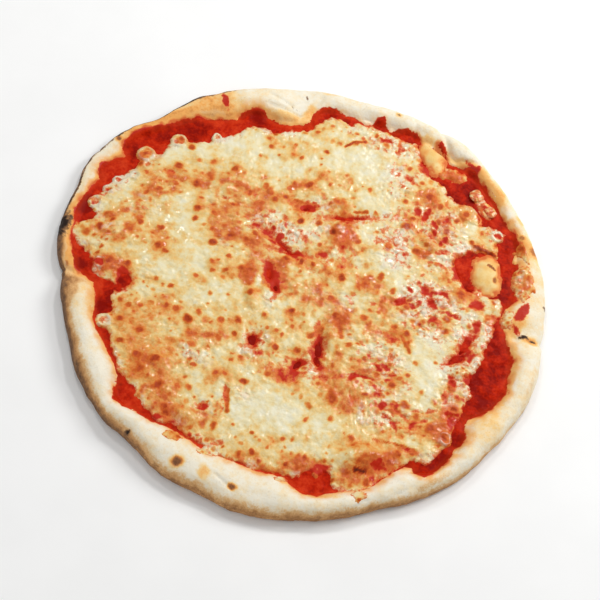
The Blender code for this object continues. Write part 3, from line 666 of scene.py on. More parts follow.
# mozzarella
cheeseLook = {
    # in mm: thickness, least thickness, greatest height, reach past the border, heights of the climb
    "cells": 306, "depth": 2.3, "thinnest": 0.15, "highest": 15.0, "beyond": 1.5, "climb": (7.2, 8.6),
    "spotTries": 6500,
    "ragged": ((1.5, 7, 61), (1.1, 3.6, 62), (.6, 2, 63)),
    "seeds": {"oily": 71, "clean": 75, "wet": 79, "tomato": 55, "golden": 59, "amber": 57},
    # the same big blisters as the solid: x, y, half length, half width, turn, height
    "blisters": (
        (57, -99, 20, 11, 22, 6), (23, -27, 8, 12, 0, 3.2), (-27, -15, 6, 10, 15, 2.6),
        (-44, -101, 11, 6.5, -10, 2.4), (69, 54, 10, 6, -35, 2.4), (-120, -20, 9, 6, -15, 2.2),
        (-112, 5, 22, 14, 20, 1.4), (15, 45, 10, 14, 0, 1.8), (-70, -72, 14, 10, 20, 1.6),
        (100, -25, 12, 9, 70, 1.8), (40, -55, 16, 9, -20, 1.6), (-60, 60, 18, 13, 40, 1.2)),
    # windows where the sauce shows: x, y, half length, half width, turn
    "windows": (
        (-21, 5, 4, 1.5, -65), (-15, -4, 2.6, 1.2, -60), (19, -37, 5, 2, 100), (20, -45, 3.4, 1.2, -60),
        (94, 42, 8.4, 4.8, 112), (99, 33, 4.5, 3, -50), (9, -51, 3, 1.6, 60), (-20, -42, 3.2, 2.2, 100),
        (-103, -26, 5, 4, 80), (-9, 56.5, 2.6, 1.1, 15), (13, 56.3, 4, .7, 12), (21, 59, 4.5, .5, 18),
        (104, -9, 6, 1.8, 70), (101, -19, 5, 1.6, 40), (-18, 26, 5.4, .6, -30), (-10, 22.5, 3.4, .45, 5)),
    # red spots where the sauce shines through: x, y, half length, half width, turn, strength
    "redSpots": (
        (63, -63, 3.6, 2.2, 60, 1), (64, 75, 6.5, 2, 80, .9), (58, 75, 2.2, 3, 20, .8),
        (57, 109, 5.5, 4.2, -60, .9), (72, -73, 4.6, 1.4, -50, .8), (66, -69, 1.8, 1.4, 0, .6),
        (82, -71, 3.8, 1.3, 60, .7), (42, -50, 3.2, 2, 80, .9), (50, -47.5, 5.6, 1.1, -5, .8),
        (106, 20, 4.2, 3.8, 20, 1), (79, 13, 2.4, 4.2, 40, .9), (73, 21, 2, 3.6, 0, .9),
        (-37, -93, 3.4, 2.2, 40, .9), (-26, -82, 6, 1.8, 105, .8), (7, 27, 3.6, 2.2, 10, .9),
        (29, 122, 3.2, 2.2, 20, .8), (71, 117, 2.8, 2, 0, .8), (101, -37, 2.6, 4.6, 10, .7),
        (84, -86, 5, 1.6, -8, .8), (-19, 4, 10, 4.6, -62, .62), (-9, 57, 4.6, 2.4, 12, .8),
        (-27, 33, 6, 2.6, 20, .22), (18, 42, 2.4, 11, -4, .5), (60, 9, 5, 2.2, 45, .7),
        (78, 50, 4.5, 2, 20, .7), (1, -61, 3, 5, 0, .75), (8, -59, 4, 4.6, 0, .7),
        (-14, -50, 3.4, 1.8, 20, .6), (96, 56, 2.6, 2, 0, .6), (84, 22, 3, 2, 0, .6),
        (70, 60, 2.4, 4, 20, .5), (76, 74, 2, 3.6, -20, .6), (48, 98, 3, 2, 0, .6),
        (68, -101, 5, 3.2, 10, 1), (36, -112, 4.6, 3.2, 20, .8), (98, -47, 2, 5, 0, .6),
        (108, -31, 2, 3.4, 0, .8), (-123, -20, 5, 3, 0, .7), (-97, 56, 3, 2.6, 0, .7),
        (-106, -20, 3.6, 4.6, 0, .6), (45, -64, 4.6, 1.2, -60, .6), (76, -66, 4.6, 1.2, -30, .6),
        (34, -52, 4, 1.6, 20, .6), (26, -55, 3, 2, 0, .6), (16, -24, 3, 6.5, 0, .6),
        (50, -16, 5, 2, 10, .5), (60, -18, 4, 3, 10, .6), (62, -30, 2, 3.6, 0, .5),
        (92, -58, 4, 1.6, 30, .6), (104, -58, 3.6, 6, 20, .7), (112, -56, 2.4, 3, 0, .7),
        (108, 6, 2.6, 3.4, 0, .6), (96, 8, 2.2, 1.6, 0, .6), (88, -66, 3, 1.4, 20, .6),
        (-46, 56, 5, 1.6, 0, .6), (-30, 48, 3, 1.4, 20, .5), (20, 22, 2.6, 1.4, 0, .6),
        (-60, 48, 2, 1.2, 0, .5), (30, 4, 3, 1.4, 30, .5), (44, 2, 2.4, 2, 0, .6)),
    # cheese that melted over the rim or lies beyond the border: x, y, half length, half width, turn
    "patches": (
        (131, 43, 12, 6.5, 100), (130, 66, 8, 6.5, -40), (126, 78, 5, 3.4, -40), (61, -123, 5, 3.2, 25),
        (-28, -119, 6.5, 3.2, 8), (-48, -116, 6.5, 3.8, 14), (17, -124, 4.5, 2, 0),
        (36, -113, 3.6, 2.6, 20), (75, 110, 8.5, 5, 10), (105, 103, 5.5, 3, -40), (97, 93, 9.5, 4.6, -48),
        (126, 16, 4, 6, 0), (88, 116, 3.4, 2.4, 0)),
    # browned spots read from the picture: x, y, radius, strength
    "spots": (
        (126, 67, 3.4, .75), (125.5, 75.5, 2.6, .8), (88, 82, 2.8, .8), (133, 47, 2.8, .6),
        (138, 38, 3.4, .5), (129, 40, 2.4, .3), (20, 40, 3.6, .25), (19, 50, 3, .3), (-34, 0, 4.4, .6),
        (-79, 53, 3.6, 1), (-59, 15, 3, 1), (-59, 70, 3.3, .8), (-12, 73, 4.2, .9), (-11, 46, 3.2, 1),
        (-74, 35, 3, .9), (-74, 28, 2.3, .8), (-107, 37, 2.8, .75), (-121, 12, 2.6, .8),
        (-127, 5, 3.8, .9), (-105, 15, 2.6, .8), (-92, 15, 2.6, .8), (-109, 8, 2.4, .7),
        (45, 43.5, 3.6, .95), (53, 62, 3.8, 1), (63, 88, 4, .9), (22, 14, 3.4, .95), (-60, -41, 4.2, .9),
        (-31, -33, 3.2, .85), (-74, -36, 2.8, .75), (-85, -56, 3.4, .8), (-18, -71, 3.2, .85),
        (-35, -70, 3, .7), (-71, -72, 4.2, .9), (-65, -87, 3.6, .9), (50, -88, 2.8, .7),
        (34, -67, 4.8, .75), (7, -42, 3.2, .8), (-2, -17, 3, .95), (90, -4, 3.4, .85), (76, -59, 4.2, .7),
        (93, -69, 4.4, .75), (-7, 101, 2.4, .85), (-89, 78, 2.8, .8), (-116, 57, 3.2, .7),
        (-115, -16, 4.4, .9), (-104, -15, 3.2, .85), (87, 46, 3, 1), (-90, 3, 3.4, .85),
        (-36, 29, 2.8, .9), (-50, 23, 3, .95), (-62, 24, 2.6, .7), (-100, 42, 2.6, .7), (-4, 18, 3, .95),
        (-13, 17, 3, .9), (-24, 60, 2.4, .85), (-37, 47, 2.2, .7), (-41, 105, 2.4, .7),
        (-44, 100, 2.2, .6), (-41, 94, 2.2, .6), (47, 105, 2.2, .7), (49, 80, 2.6, .7), (10, 113, 2, .8),
        (15, 116, 2.6, .85), (56, 69, 2.6, .85), (33, 66, 2, .6), (71, 83, 2.8, .7), (95, 63, 2.2, .8),
        (63, 45.5, 3.6, .8), (70, 46.5, 2.6, .7), (95, 24, 4.2, .8), (30, 37, 1.8, .6), (4, 33, 1.8, .7),
        (0, 48.5, 3, .75), (10, 44, 3.2, 1), (26, 42, 2.6, .75), (19, 51, 2.6, .7), (8, 66, 2, .7),
        (4, 64, 2, .6), (-30, 56, 2.6, .75), (-46, 56, 3, .8), (-54, 45, 2.6, .75), (-38, 51, 2, .7),
        (-40, 23, 2.6, .8), (3, 18, 2.6, .8), (19, -2, 3, .85), (11, 2, 2, .7), (-33, 3, 3, .8),
        (-47, 8, 2.2, .6), (-56, 1, 2, .7), (90, 5, 3.4, .8), (98, 54, 2.6, .85), (45, 22, 3.6, .7),
        (37, 14, 3, .7), (-29, -13, 3, .8), (-41, -36, 3, .7), (-31, -42, 2.4, .8), (-17, -25, 2, .7),
        (-8, -33, 2, .7), (-30, -69, 2, .7), (-49, -69, 2.4, .7), (-6, -44, 2.6, .95), (52, -59, 2.6, .85),
        (47, -36, 2.4, .7), (62, -35, 2, .7), (74, -39, 2, .7), (89, -26, 1.8, .6), (102, -73, 3.4, .9),
        (104, -54, 4.4, .95), (101, -40, 3, .9), (-97, 55, 2.4, .6), (-93, 62, 3.4, .8),
        (-97, 82, 2.4, .85), (-115, 65, 2.8, .95), (77, -30, 2, .5), (60, -10, 3, .7), (68, -12, 2.6, .8),
        (-85, 0, 2.8, .7), (-63, -11, 2.4, .6), (-47, -2, 2.6, .7), (-38, 2, 3, .7), (-52, -20, 2, .5),
        (-85, -20, 2.2, .5), (-96, -42, 2.6, .6), (-89, -40, 2.4, .6), (-98, -52, 3, .8),
        (-94, -66, 3.2, .8), (-82, -72, 3.4, .8), (-78, -80, 3, .7), (-58, -99, 3.2, .8),
        (-56, -103, 3, .9), (-48, -84, 2.6, .6), (-52, -66, 2.4, .6), (-28, -103, 3.4, .75),
        (-24, -56, 2.4, .6), (-6, -62, 2.6, .6), (1, -62, 3, .8), (6, -58, 4, .7), (12, -100, 2.4, .6),
        (22, -84, 2.4, .6), (36, -80, 2.4, .6), (-10, -116, 2.6, .8), (-3, -113, 2.8, .85),
        (2, -117, 2.4, .8), (17, -115, 2.2, .8), (27, -108, 2.6, .8), (66, -48, 3, .8), (56, -44, 2.4, .7),
        (84, -48, 2, .5), (70, -18, 2.4, .7), (36, -30, 2.4, .6), (44, -38, 2.4, .6), (30, -14, 2.8, .7),
        (24, -13, 3, .8), (54, 14, 2.6, .7), (64, 6, 2.6, .7), (104, 4, 2.4, .6), (110, 66, 2, .9),
        (104, 60, 2.4, .95), (99, 61, 2.2, .95), (69, -101, 4, .9), (74, -97, 4, .7), (64, -113, 3.4, .7),
        (52, -110, 2.6, .6), (36, -113, 2.6, 1.1), (78, -90, 2.6, .8), (86, -87, 2.8, .85),
        (72, 71, 3, .85), (78, 66, 3.4, .85), (83, 76, 2.4, .8), (100, 72, 2.4, .7)),
    # smooth golden places: x, y, half length, half width, turn, strength
    "golden": (
        (58, -92, 21, 5.6, 12, 1), (-44, -100, 9, 4.5, -10, 1), (68, 55.5, 9, 5.5, -35, 1),
        (24, -20, 9, 9, -20, .9), (-80, -66, 30, 18, -52, .6), (60, -79, 18, 5, 8, .6),
        (-24, -15, 4, 9, 10, .6), (-45, -116, 8, 3, 10, .8), (-60, 100, 10, 5, 30, .3),
        (60, 119, 14, 7, -57, .8), (90, 83, 9, 6, -25, .8), (128, 69, 12, 8, -30, .4)),
    # smooth orange-brown places: x, y, half length, half width, turn, strength
    "amber": (
        (68, -98, 12, 5, 30, .9), (104, -57, 7, 11, 10, .6), (18, 43, 3.5, 12, 0, .6),
        (-33, -1, 5, 9, 10, .7), (-16, 4, 11, 8, -60, .5), (-115, -18, 11, 5, 0, .7),
        (75, 109, 8, 4.6, 10, 1), (54, -110, 11, 4, 22, .4), (117, 10, 4.5, 8, 0, .7),
        (22, -19, 8, 6, 0, .4), (52, 2, 4, 7, 0, .6), (60, -17, 6, 4, 0, .3), (40, -56, 12, 5, -10, .5),
        (131, 40, 6, 4, 0, .4), (8, -120, 12, 2.4, 0, .8)),
    # brown lines: x0, y0, x1, y1, half width, strength
    "lines": (
        (62, -85.5, 82, -84.5, .8, .5), (4, 109, 9, 114, 1, .8), (9, 114, 16, 116, 1.1, .8),
        (98, 61, 111, 59, 1.6, .95), (20, 63, 27, 65, 1.2, .7), (-18, 60, -4, 60, 1.2, .55),
        (-26, -79, -23, -92, 1.6, .6), (18, -24, 12, -31, 2, .6), (26, -14, 30, -26, 2, .55),
        (65, -14, 72, -24, 1.4, .5), (56, -107.5, 62, -106.5, 1.5, 1.3), (60, 7, 68, 14, 1.5, .7)),
    # oily orange places: x, y, half length, half width, turn, strength
    "oily": (
        (36, -46, 20, 14, 0, .6), (-48, 70, 14, 8, 0, .35), (48, -72, 16, 8, 0, .6),
        (-30, 20, 14, 12, 0, .7), (-88, 16, 16, 12, 0, .45), (40, 34, 16, 12, 0, .35),
        (-98, 46, 15, 13, 0, .6), (-118, 22, 13, 14, 0, .5), (2, -2, 16, 11, 0, .8),
        (-46, -48, 15, 11, 0, .65), (34, -54, 18, 13, 0, .6), (-22, 18, 12, 7, 0, .5),
        (24, -6, 12, 9, 0, .5), (-26, -24, 10, 6, 0, .4), (-52, 48, 26, 20, -20, .75),
        (-52, 30, 16, 12, 20, .7), (-12, 66, 24, 12, 0, .5), (18, 42, 10, 16, 5, 1),
        (-18, 4, 14, 10, -60, 1), (-34, 0, 6, 9, 10, .9), (-74, -64, 32, 22, -50, .3),
        (-5, -6, 6, 5, 0, .7), (46, -18, 8, 8, 0, .6), (60, -17, 6, 5, 0, .5), (52, 4, 7, 9, 0, .9),
        (36, -50, 12, 8, -10, .7), (-56, -96, 22, 12, -15, .7), (46, -64, 18, 13, 10, .75),
        (66, -101, 14, 7, 28, 1), (58, -110, 12, 6, 10, 1), (60, 64, 12, 10, 0, .45),
        (62, 88, 13, 8, 0, .65), (76, 66, 7, 8, 0, .6), (92, 22, 12, 8, 60, .4), (-115, -18, 14, 8, 0, .9),
        (-105, 12, 26, 12, 20, .35), (60, 112, 9, 6, -55, .5), (88, 84, 10, 6, -25, .8),
        (66, 46, 9, 4, -15, .8), (24, -20, 9, 12, -20, 1), (-44, -101, 12, 8, -10, .8),
        (100, -62, 9, 16, 10, 1), (-10, -58, 16, 8, 10, .6), (-60, 75, 12, 8, 0, .35),
        (-36, 104, 26, 7, -8, .15), (-90, 8, 22, 16, 0, .5), (-96, 26, 14, 10, 0, .5),
        (48, 0, 12, 10, 0, .3), (8, 82, 12, 10, 0, .45), (10, 18, 24, 10, 0, .5), (-38, 55, 14, 6, 0, .7),
        (127, 69, 12, 8, -30, .9), (131, 44, 12, 8, 100, .6), (30, -112, 16, 6, 10, .9),
        (75, 111, 8, 6, 0, 1), (2, -116, 18, 4, 0, .6), (40, 14, 10, 8, 0, .6)),
    # pale clean places: x, y, half length, half width, turn, strength
    "clean": (
        (-26, -2, 2.4, 5, 15, .9), (-78, 2, 26, 20, 0, .5), (-62, 88, 24, 13, 25, .75),
        (-4, 40, 9, 8, 0, .5), (-26, 44, 9, 5, 0, .4), (88, 57, 7, 6, 0, .5), (22, 100, 30, 15, 0, .85),
        (85, -31, 13, 27, -6, 1), (0, -84, 24, 14, 0, .8), (88, -14, 9, 12, 0, .5),
        (-42, -24, 22, 18, 0, .42), (48, 40, 13, 22, 0, .8), (34, 70, 14, 10, 0, .6),
        (-84, 28, 16, 14, 0, .7), (0, -56, 12, 8, 0, .3), (82, 74, 6, 6, 0, .5), (89, 83, 9, 6, -28, .5),
        (54, 22, 7, 7, 0, .9), (30, 48, 6, 8, 0, .35), (-98, 68, 12, 8, 40, .7), (-30, 80, 18, 8, 0, .5),
        (-120, 35, 10, 8, 60, .3), (28, -84, 18, 9, 0, .9), (100, 4, 8, 8, 0, .7), (-16, -62, 9, 8, 0, .6),
        (93, 70, 7, 7, 0, .6)),
    # wrinkled, wet, pinkish white places: x, y, half length, half width, turn, strength
    "wet": (
        (-26, -2, 2, 5, 15, 1), (50, 46, 13, 22, -10, 1), (76, 42, 10, 9, 0, .9), (-16, 36, 14, 10, 0, 1),
        (0, 42, 8, 12, 0, .8), (-34, 38, 9, 8, 0, .8), (-50, -64, 12, 10, 0, .6), (104, 2, 16, 14, 0, .8),
        (40, 92, 14, 20, 10, .6), (30, 118, 26, 8, -5, .8), (78, 62, 16, 18, 0, .8),
        (-128, 38, 8, 18, -25, .7), (-75, 92, 8, 6, 0, .8), (108, -26, 9, 22, 10, 1),
        (96, -46, 8, 10, 0, .6), (78, 10, 24, 22, 0, 1), (-30, -92, 12, 8, 0, .5),
        (56, -34, 18, 16, 0, .8), (80, -2, 18, 12, 0, .9), (68, -58, 22, 10, -10, .7),
        (100, -36, 9, 22, 6, .8), (20, 50, 9, 9, 0, .5), (40, 52, 9, 12, 0, .7), (104, 78, 14, 9, 0, .45),
        (86, 60, 12, 10, 0, .8), (-124, 4, 12, 10, 0, .6), (18, -2, 18, 8, 0, .5), (108, 78, 9, 7, 0, .3),
        (96, 94, 9, 8, -40, .45), (70, 76, 12, 8, 0, .6), (-104, 30, 14, 10, 0, .5),
        (-54, 15, 9, 5, 0, .7), (0, 62, 8, 6, 0, .8), (-14, -40, 7, 7, 0, .9), (-22, -52, 8, 5, 0, .8),
        (-16, -78, 7, 6, 0, .8), (62, -70, 16, 9, -10, .8), (-17, -14, 4, 9, 5, .8),
        (35, -22, 6, 8, 0, .6), (128, 42, 5, 8, 0, .45), (17, -50, 8, 6, 0, .7), (66, -2, 12, 8, 0, .7)),
    # red-stained places where the sauce comes through: x, y, half length, half width, turn, strength
    "tomato": (
        (117, 10, 5, 9, 0, .6), (108, 74, 8, 6, 0, .75), (48, 46, 12, 15, 0, .6),
        (58, -44, 22, 16, 0, .62), (80, 12, 22, 34, 10, .42), (66, 72, 22, 22, 0, .55),
        (105, -24, 7, 38, 5, .32), (-22, 36, 22, 14, 0, .5), (8, -52, 28, 10, 0, .62),
        (30, 118, 28, 8, 0, .35), (-46, 54, 20, 10, 0, .35), (76, -66, 24, 12, -10, .42),
        (20, 30, 14, 20, 0, .4), (-60, -62, 20, 10, 0, .25), (46, 100, 14, 12, 0, .4),
        (-18, 3, 14, 8, -62, .8), (-26, 33, 8, 5, 20, .7), (-12, 24, 9, 4, -20, .6),
        (-14, 60, 11, 4, 5, .6), (15, 54, 6, 4, 12, .7), (18, 38, 5, 9, 10, .55), (19, -40, 6, 11, 0, .7),
        (9, -52, 5, 6, 0, .7), (-19, -44, 6, 6, 0, .7), (4, -60, 7, 5, 30, .55), (64, -65, 8, 4, -30, .4),
        (42, -50, 9, 5, 10, .7), (80, -72, 10, 4, 10, .6), (104, -14, 5, 12, 20, .55),
        (100, -38, 4, 8, 10, .8), (104, -58, 7, 12, 10, .6), (76, 16, 7, 7, 0, .7), (61, 9, 7, 4, 40, .6),
        (90, 42, 6, 12, 0, .7), (78, 64, 6, 9, 0, .6), (62, 76, 7, 6, 0, .6), (60, -17, 7, 6, 0, .5),
        (52, 2, 4, 7, 0, .4), (-96, 56, 5, 3, 0, .5), (-120, -20, 9, 6, 0, .6), (-104, -22, 5, 6, 0, .6),
        (-26, -84, 3, 9, 10, .6), (-38, -93, 5, 3, 0, .7), (36, -112, 9, 5, 20, .7),
        (106, 20, 8, 6, 0, .8), (50, 98, 12, 5, -40, .5), (30, 122, 14, 4, -5, .5), (75, 111, 7, 4, 0, .5),
        (-34, 0, 5, 8, 10, .5), (20, -2, 5, 4, 0, .5), (70, -99, 9, 5, 30, .9), (64, -110, 8, 4, 30, .6),
        (-104, 92, 4, 3, 0, .4), (84, -87, 8, 3, 0, .7), (-60, -106, 12, 2, 0, .8),
        (-30, -112, 16, 2.5, -6, .8), (30, -50, 8, 4, 0, .5), (131, 44, 9, 5, 100, .55),
        (98, 92, 10, 5, -45, .95)),
    # small rings of cheese at the border: x, y, radius
    "rings": (
        (-115, 65, 6.2), (-98, 81, 5.6), (110, 73, 4.2), (-107, -55, 5), (-135, 22, 4.6), (103, -73, 4.4),
        (-76, 91, 3.4), (-126, 41, 3.8), (-117, 47, 3.4), (-130, 33, 3.6), (-112, 57, 3.6), (128, 50, 3.4),
        (-120, -19, 4.4)),
}


def scatterSpots():
    # many small browned spots, thick where the baking was strong and few on the clean places
    dice = np.random.default_rng(5)
    kept = [(s[0], s[1], s[2]) for s in cheeseLook["spots"]]
    spots = []
    for x, y in dice.uniform(-140, 140, (cheeseLook["spotTries"], 2)):
        here = 0.36 + 0.5 * float(soft(np.array([x]), np.array([y]), 20, 51)[0])
        for place in cheeseLook["oily"]:
            here += 0.35 * place[5] * float(dome(inOval(x, y, place)))
        for place in cheeseLook["clean"]:
            here -= 0.90 * place[5] * float(smooth(1.15, 0.75, inOval(x, y, place)))
        if dice.uniform() > here:
            continue
        radius = float(np.clip(dice.lognormal(0.52, 0.38), 1.0, 3.4))
        if any(np.hypot(x - a, y - b) < 0.85 * (radius + c) + 1.0 for a, b, c in kept):
            continue
        kept.append((x, y, radius))
        spots.append((x, y, radius, float(dice.uniform(0.10, 0.70))))
    return spots


def fromRing(x, y, ring):
    # distance (mm) to the middle of a small ring of cheese
    return np.hypot(x - ring[0], y - ring[1]) + 0.5 * soft(x, y, 3, 66)


def cheeseDepth(x, y):
    # how far inside the sheet each place is; the border is ragged, with windows and loose patches
    ragged = waves(x, y, cheeseLook["ragged"])
    depth = depthInside(outlines["cheese"], x, y) + ragged
    for patch in cheeseLook["patches"]:
        depth = np.maximum(depth, (1 - inOval(x, y, patch)) * min(patch[2], patch[3]) + 1.1 * ragged)
    for window in cheeseLook["windows"]:
        inset = (inOval(x, y, window) - 1) * window[3] + 0.3 * ragged * min(1.6, window[3])
        depth = np.minimum(depth, inset)
    for oval in doughBlisters:
        if oval[6] > 0:
            depth = np.minimum(depth, (inOval(x, y, oval) - oval[6]) * oval[3] + 1.1 * ragged)
    for ring in cheeseLook["rings"]:
        depth = np.maximum(depth, ring[2] - fromRing(x, y, ring))
    return depth


def ringFields(x, y):
    # the small rings at the border: their walls, their hollows and their glassy middles
    shape, hole, glass = np.zeros_like(x), np.zeros_like(x), np.zeros_like(x)
    for ring in cheeseLook["rings"]:
        away = fromRing(x, y, ring)
        shape = np.maximum(shape, np.exp(-((away - 0.76 * ring[2]) / 0.9) ** 2))
        hole = np.maximum(hole, 1 - smooth(0.25 * ring[2], 0.8 * ring[2], away))
        glass = np.maximum(glass, 1 - smooth(0.45 * ring[2], 0.75 * ring[2], away))
    return shape, hole, glass


def cheeseZone(x, y, name):
    wobble = 0.30 * layered(x, y, 11, cheeseLook["seeds"][name])
    return patches(x, y, cheeseLook[name], wobble, 0.40, 1.30)


def bakedFields(x, y, oily, clean, wet, grain, fine):
    # browned spots: a soft golden halo round a darker, uneven middle
    golden, amber = cheeseZone(x, y, "golden"), cheeseZone(x, y, "amber")
    heat = 0.20 + 0.12 * soft(x, y, 15, 70) + 0.10 * soft(x, y, 7.5, 72) + 0.09 * grain + 0.045 * fine
    heat += 0.19 * oily - 0.12 * clean - 0.05 * wet
    blotch = smooth(0.0, 0.9, soft(x, y, 6.5, 73) + 0.30 * grain)
    heat += (0.12 + 0.26 * oily) * blotch * (1 - 0.9 * clean)
    heat += golden * (0.34 + 0.04 * grain - heat)
    heat += amber * (0.52 + 0.10 * grain + 0.05 * fine - heat)
    spotRise = np.zeros_like(x)
    core = np.zeros_like(x)
    dice = np.random.default_rng(8)
    for sx, sy, radius, strength in list(cheeseLook["spots"]) + scatterSpots():
        near = np.flatnonzero(np.abs(x - sx) + np.abs(y - sy) < 4 * radius + 3)
        shape = (sx, sy, radius, radius * dice.uniform(0.62, 0.95), dice.uniform(0, 180))
        uneven = 0.75 * grain[near] + 0.5 * fine[near]
        away = inOval(x[near], y[near], shape) + uneven / max(radius, 1.4)
        halo = np.exp(-(np.maximum(away, 0) / 2.1) ** 2)
        heat[near] += 0.24 * strength * halo * (1 - 0.4 * clean[near])
        core[near] = np.maximum(core[near], (0.43 + 0.36 * strength) * (1 - smooth(0.36, 1.55, away)))
        spotRise[near] += 0.20 * radius * strength * (dome(away / 1.5) - 0.8 * dome(away / 0.7))
    for line in cheeseLook["lines"]:
        away = (toLine(x, y, line) + 0.5 * grain + 0.4 * fine) / line[4]
        core = np.maximum(core, (0.46 + 0.38 * line[5]) * (1 - smooth(0.3, 1.7, away)))
    heat = np.maximum(np.minimum(heat, 0.60), core) + 0.10 * core * (heat - 0.3)
    return heat, core, spotRise


def redFields(x, y, grain, fine):
    # small places where the sauce shines through
    redSpot = np.zeros_like(x)
    for spot in cheeseLook["redSpots"]:
        near = np.flatnonzero(np.hypot(x - spot[0], y - spot[1]) < 2.2 * max(spot[2], spot[3]) + 3)
        uneven = 0.9 * grain[near] + 0.6 * fine[near]
        away = inOval(x[near], y[near], spot) + uneven / min(spot[2], spot[3])
        redSpot[near] = np.maximum(redSpot[near], spot[5] * (1 - smooth(0.35, 1.5, away)))
    return redSpot


def makeCheese():
    cheese = makeSheet("mozzarellaSheet", cheeseLook["cells"])
    reach = farthestInside(lambda x, y: cheeseDepth(x, y) + cheeseLook["beyond"], 90, 146)
    reach = evened(np.maximum.reduce([np.roll(reach, k) for k in range(-6, 7)]), 4)
    x, y, share, below = fillDisc(cheese, reach)
    depthIn = cheeseDepth(x, y)
    oily, clean, wet, tomato = (cheeseZone(x, y, name) for name in ("oily", "clean", "wet", "tomato"))
    fine, grain = soft(x, y, 2.0, 68), soft(x, y, 3.8, 69)
    ringShape, ringHole, ringGlass = ringFields(x, y)
    # small bubbles packed in the wet places
    warpX, warpY = x + 1.6 * soft(x, y, 6, 87), y + 1.6 * soft(x, y, 6, 88)
    froth = 0.65 * smooth(0.0, 0.45, cellWalls(warpX, warpY, 5.6, 89))
    froth += 0.35 * smooth(0.0, 0.5, cellWalls(warpX, warpY, 3.4, 90))
    # everything near the border is thin, bubbly and wet
    borderIn = depthInside(outlines["cheese"], x, y)
    nearBorder = (1 - smooth(1.5, 7.5, borderIn)) * smooth(-4, 0, borderIn)
    wet = wet + 0.75 * nearBorder * smooth(-0.6, 0.4, soft(x, y, 13, 92))
    wet = np.clip(wet + 0.35 * smooth(0.1, 0.7, soft(x, y, 11, 93)), 0, 1)
    heat, core, spotRise = bakedFields(x, y, oily, clean, wet, grain, fine)
    redSpot = redFields(x, y, grain, fine)

    # thickness of the sheet, on the sauce and where it climbs the rim
    ground = np.maximum(sauceTop(x, y), doughTop(x, y))
    onSlope = smooth(*cheeseLook["climb"], ground)
    full = smooth(0, 5, depthIn)
    body = cheeseLook["depth"] * (1 - np.exp(-np.maximum(depthIn, 0) / 3.2)) * (1 - 0.65 * onSlope)
    body += cheeseLook["thinnest"]
    lumps = 0.42 * soft(x, y, 17, 81) + (0.54 - 0.25 * clean) * soft(x, y, 8, 82)
    lumps += (0.46 - 0.34 * clean) * soft(x, y, 4, 83) + (0.20 + 0.10 * oily) * (1 - clean) * fine
    lumps += (0.25 + 0.95 * wet) * (1 - 0.6 * clean) * (froth - 0.6)
    rise = sum(b[5] * dome(inOval(x, y, b)) for b in cheeseLook["blisters"])
    top = ground + body + full * (lumps + rise) * (1 - 0.6 * onSlope) + smooth(0, 1, depthIn) * spotRise
    top += 0.7 * ringShape - 0.3 * ringHole - 0.4 * tomato * full - 0.7 * redSpot * full
    top = np.where(depthIn < 0, ground - 0.9 + 0.6 * np.exp(depthIn / 0.4), top)
    top = np.minimum(top, cheeseLook["highest"])
    z = np.where(below, levels["sauce"] - 1.2, np.where(share > 0.999, ground - 1.1, top))
    writePoints(cheese, np.stack([x, y, z], 1))

    # the thin border and the places round the windows let the red through
    border = np.exp(-np.maximum(depthIn, 0) / 1.4)
    opening = np.full_like(x, 9.0)
    for window in cheeseLook["windows"]:
        opening = np.minimum(opening, (inOval(x, y, window) - 1) * min(window[2], window[3]))
    blobs = soft(x, y, 6.5, 92) + 0.35 * soft(x, y, 3, 94)
    white = smooth(-0.30, 0.35, blobs)
    flecks = smooth(0.10, 0.60, -blobs + 0.35 * grain)
    red = tomato * (0.30 + 0.30 * grain + 0.25 * fine + 0.55 * flecks) + 0.55 * border * (1 - ringShape)
    red += 0.42 * wet * flecks * (1 - clean) + 0.9 * redSpot + (0.36 + 0.2 * grain) * ringGlass
    red += 0.35 * np.exp(-np.maximum(opening, 0) / 2.2) * (1 + 0.8 * grain) - 0.4 * core - 0.3 * ringShape
    gloss = 0.25 + 0.6 * wet + 0.5 * oily + 0.5 * ringShape - 0.2 * clean - 1.1 * core
    milky = wet * (0.25 + 0.75 * white) + 0.55 * ringShape - 0.6 * core
    paint(cheese, browned=heat, red=red, wet=np.clip(milky, 0, 1),
          gloss=np.clip(gloss - 0.9 * np.clip(red, 0, 1), 0, 1))
    smoothFaces(cheese)
    print("cheese made:", len(cheese.data.polygons), "faces")
    return cheese


# loose drops of cheese
dropLook = {"segments": 64, "rings": 40, "narrowed": 0.97, "dimple": 0.15, "sunk": 0.6, "raised": 0.4,
            # the node that each takes the place of, its name and the seed of its unevenness
            "drops": (("cheese_drop_1", "cheeseDropLarge", 91), ("cheese_drop_2", "cheeseDropSmall", 95))}


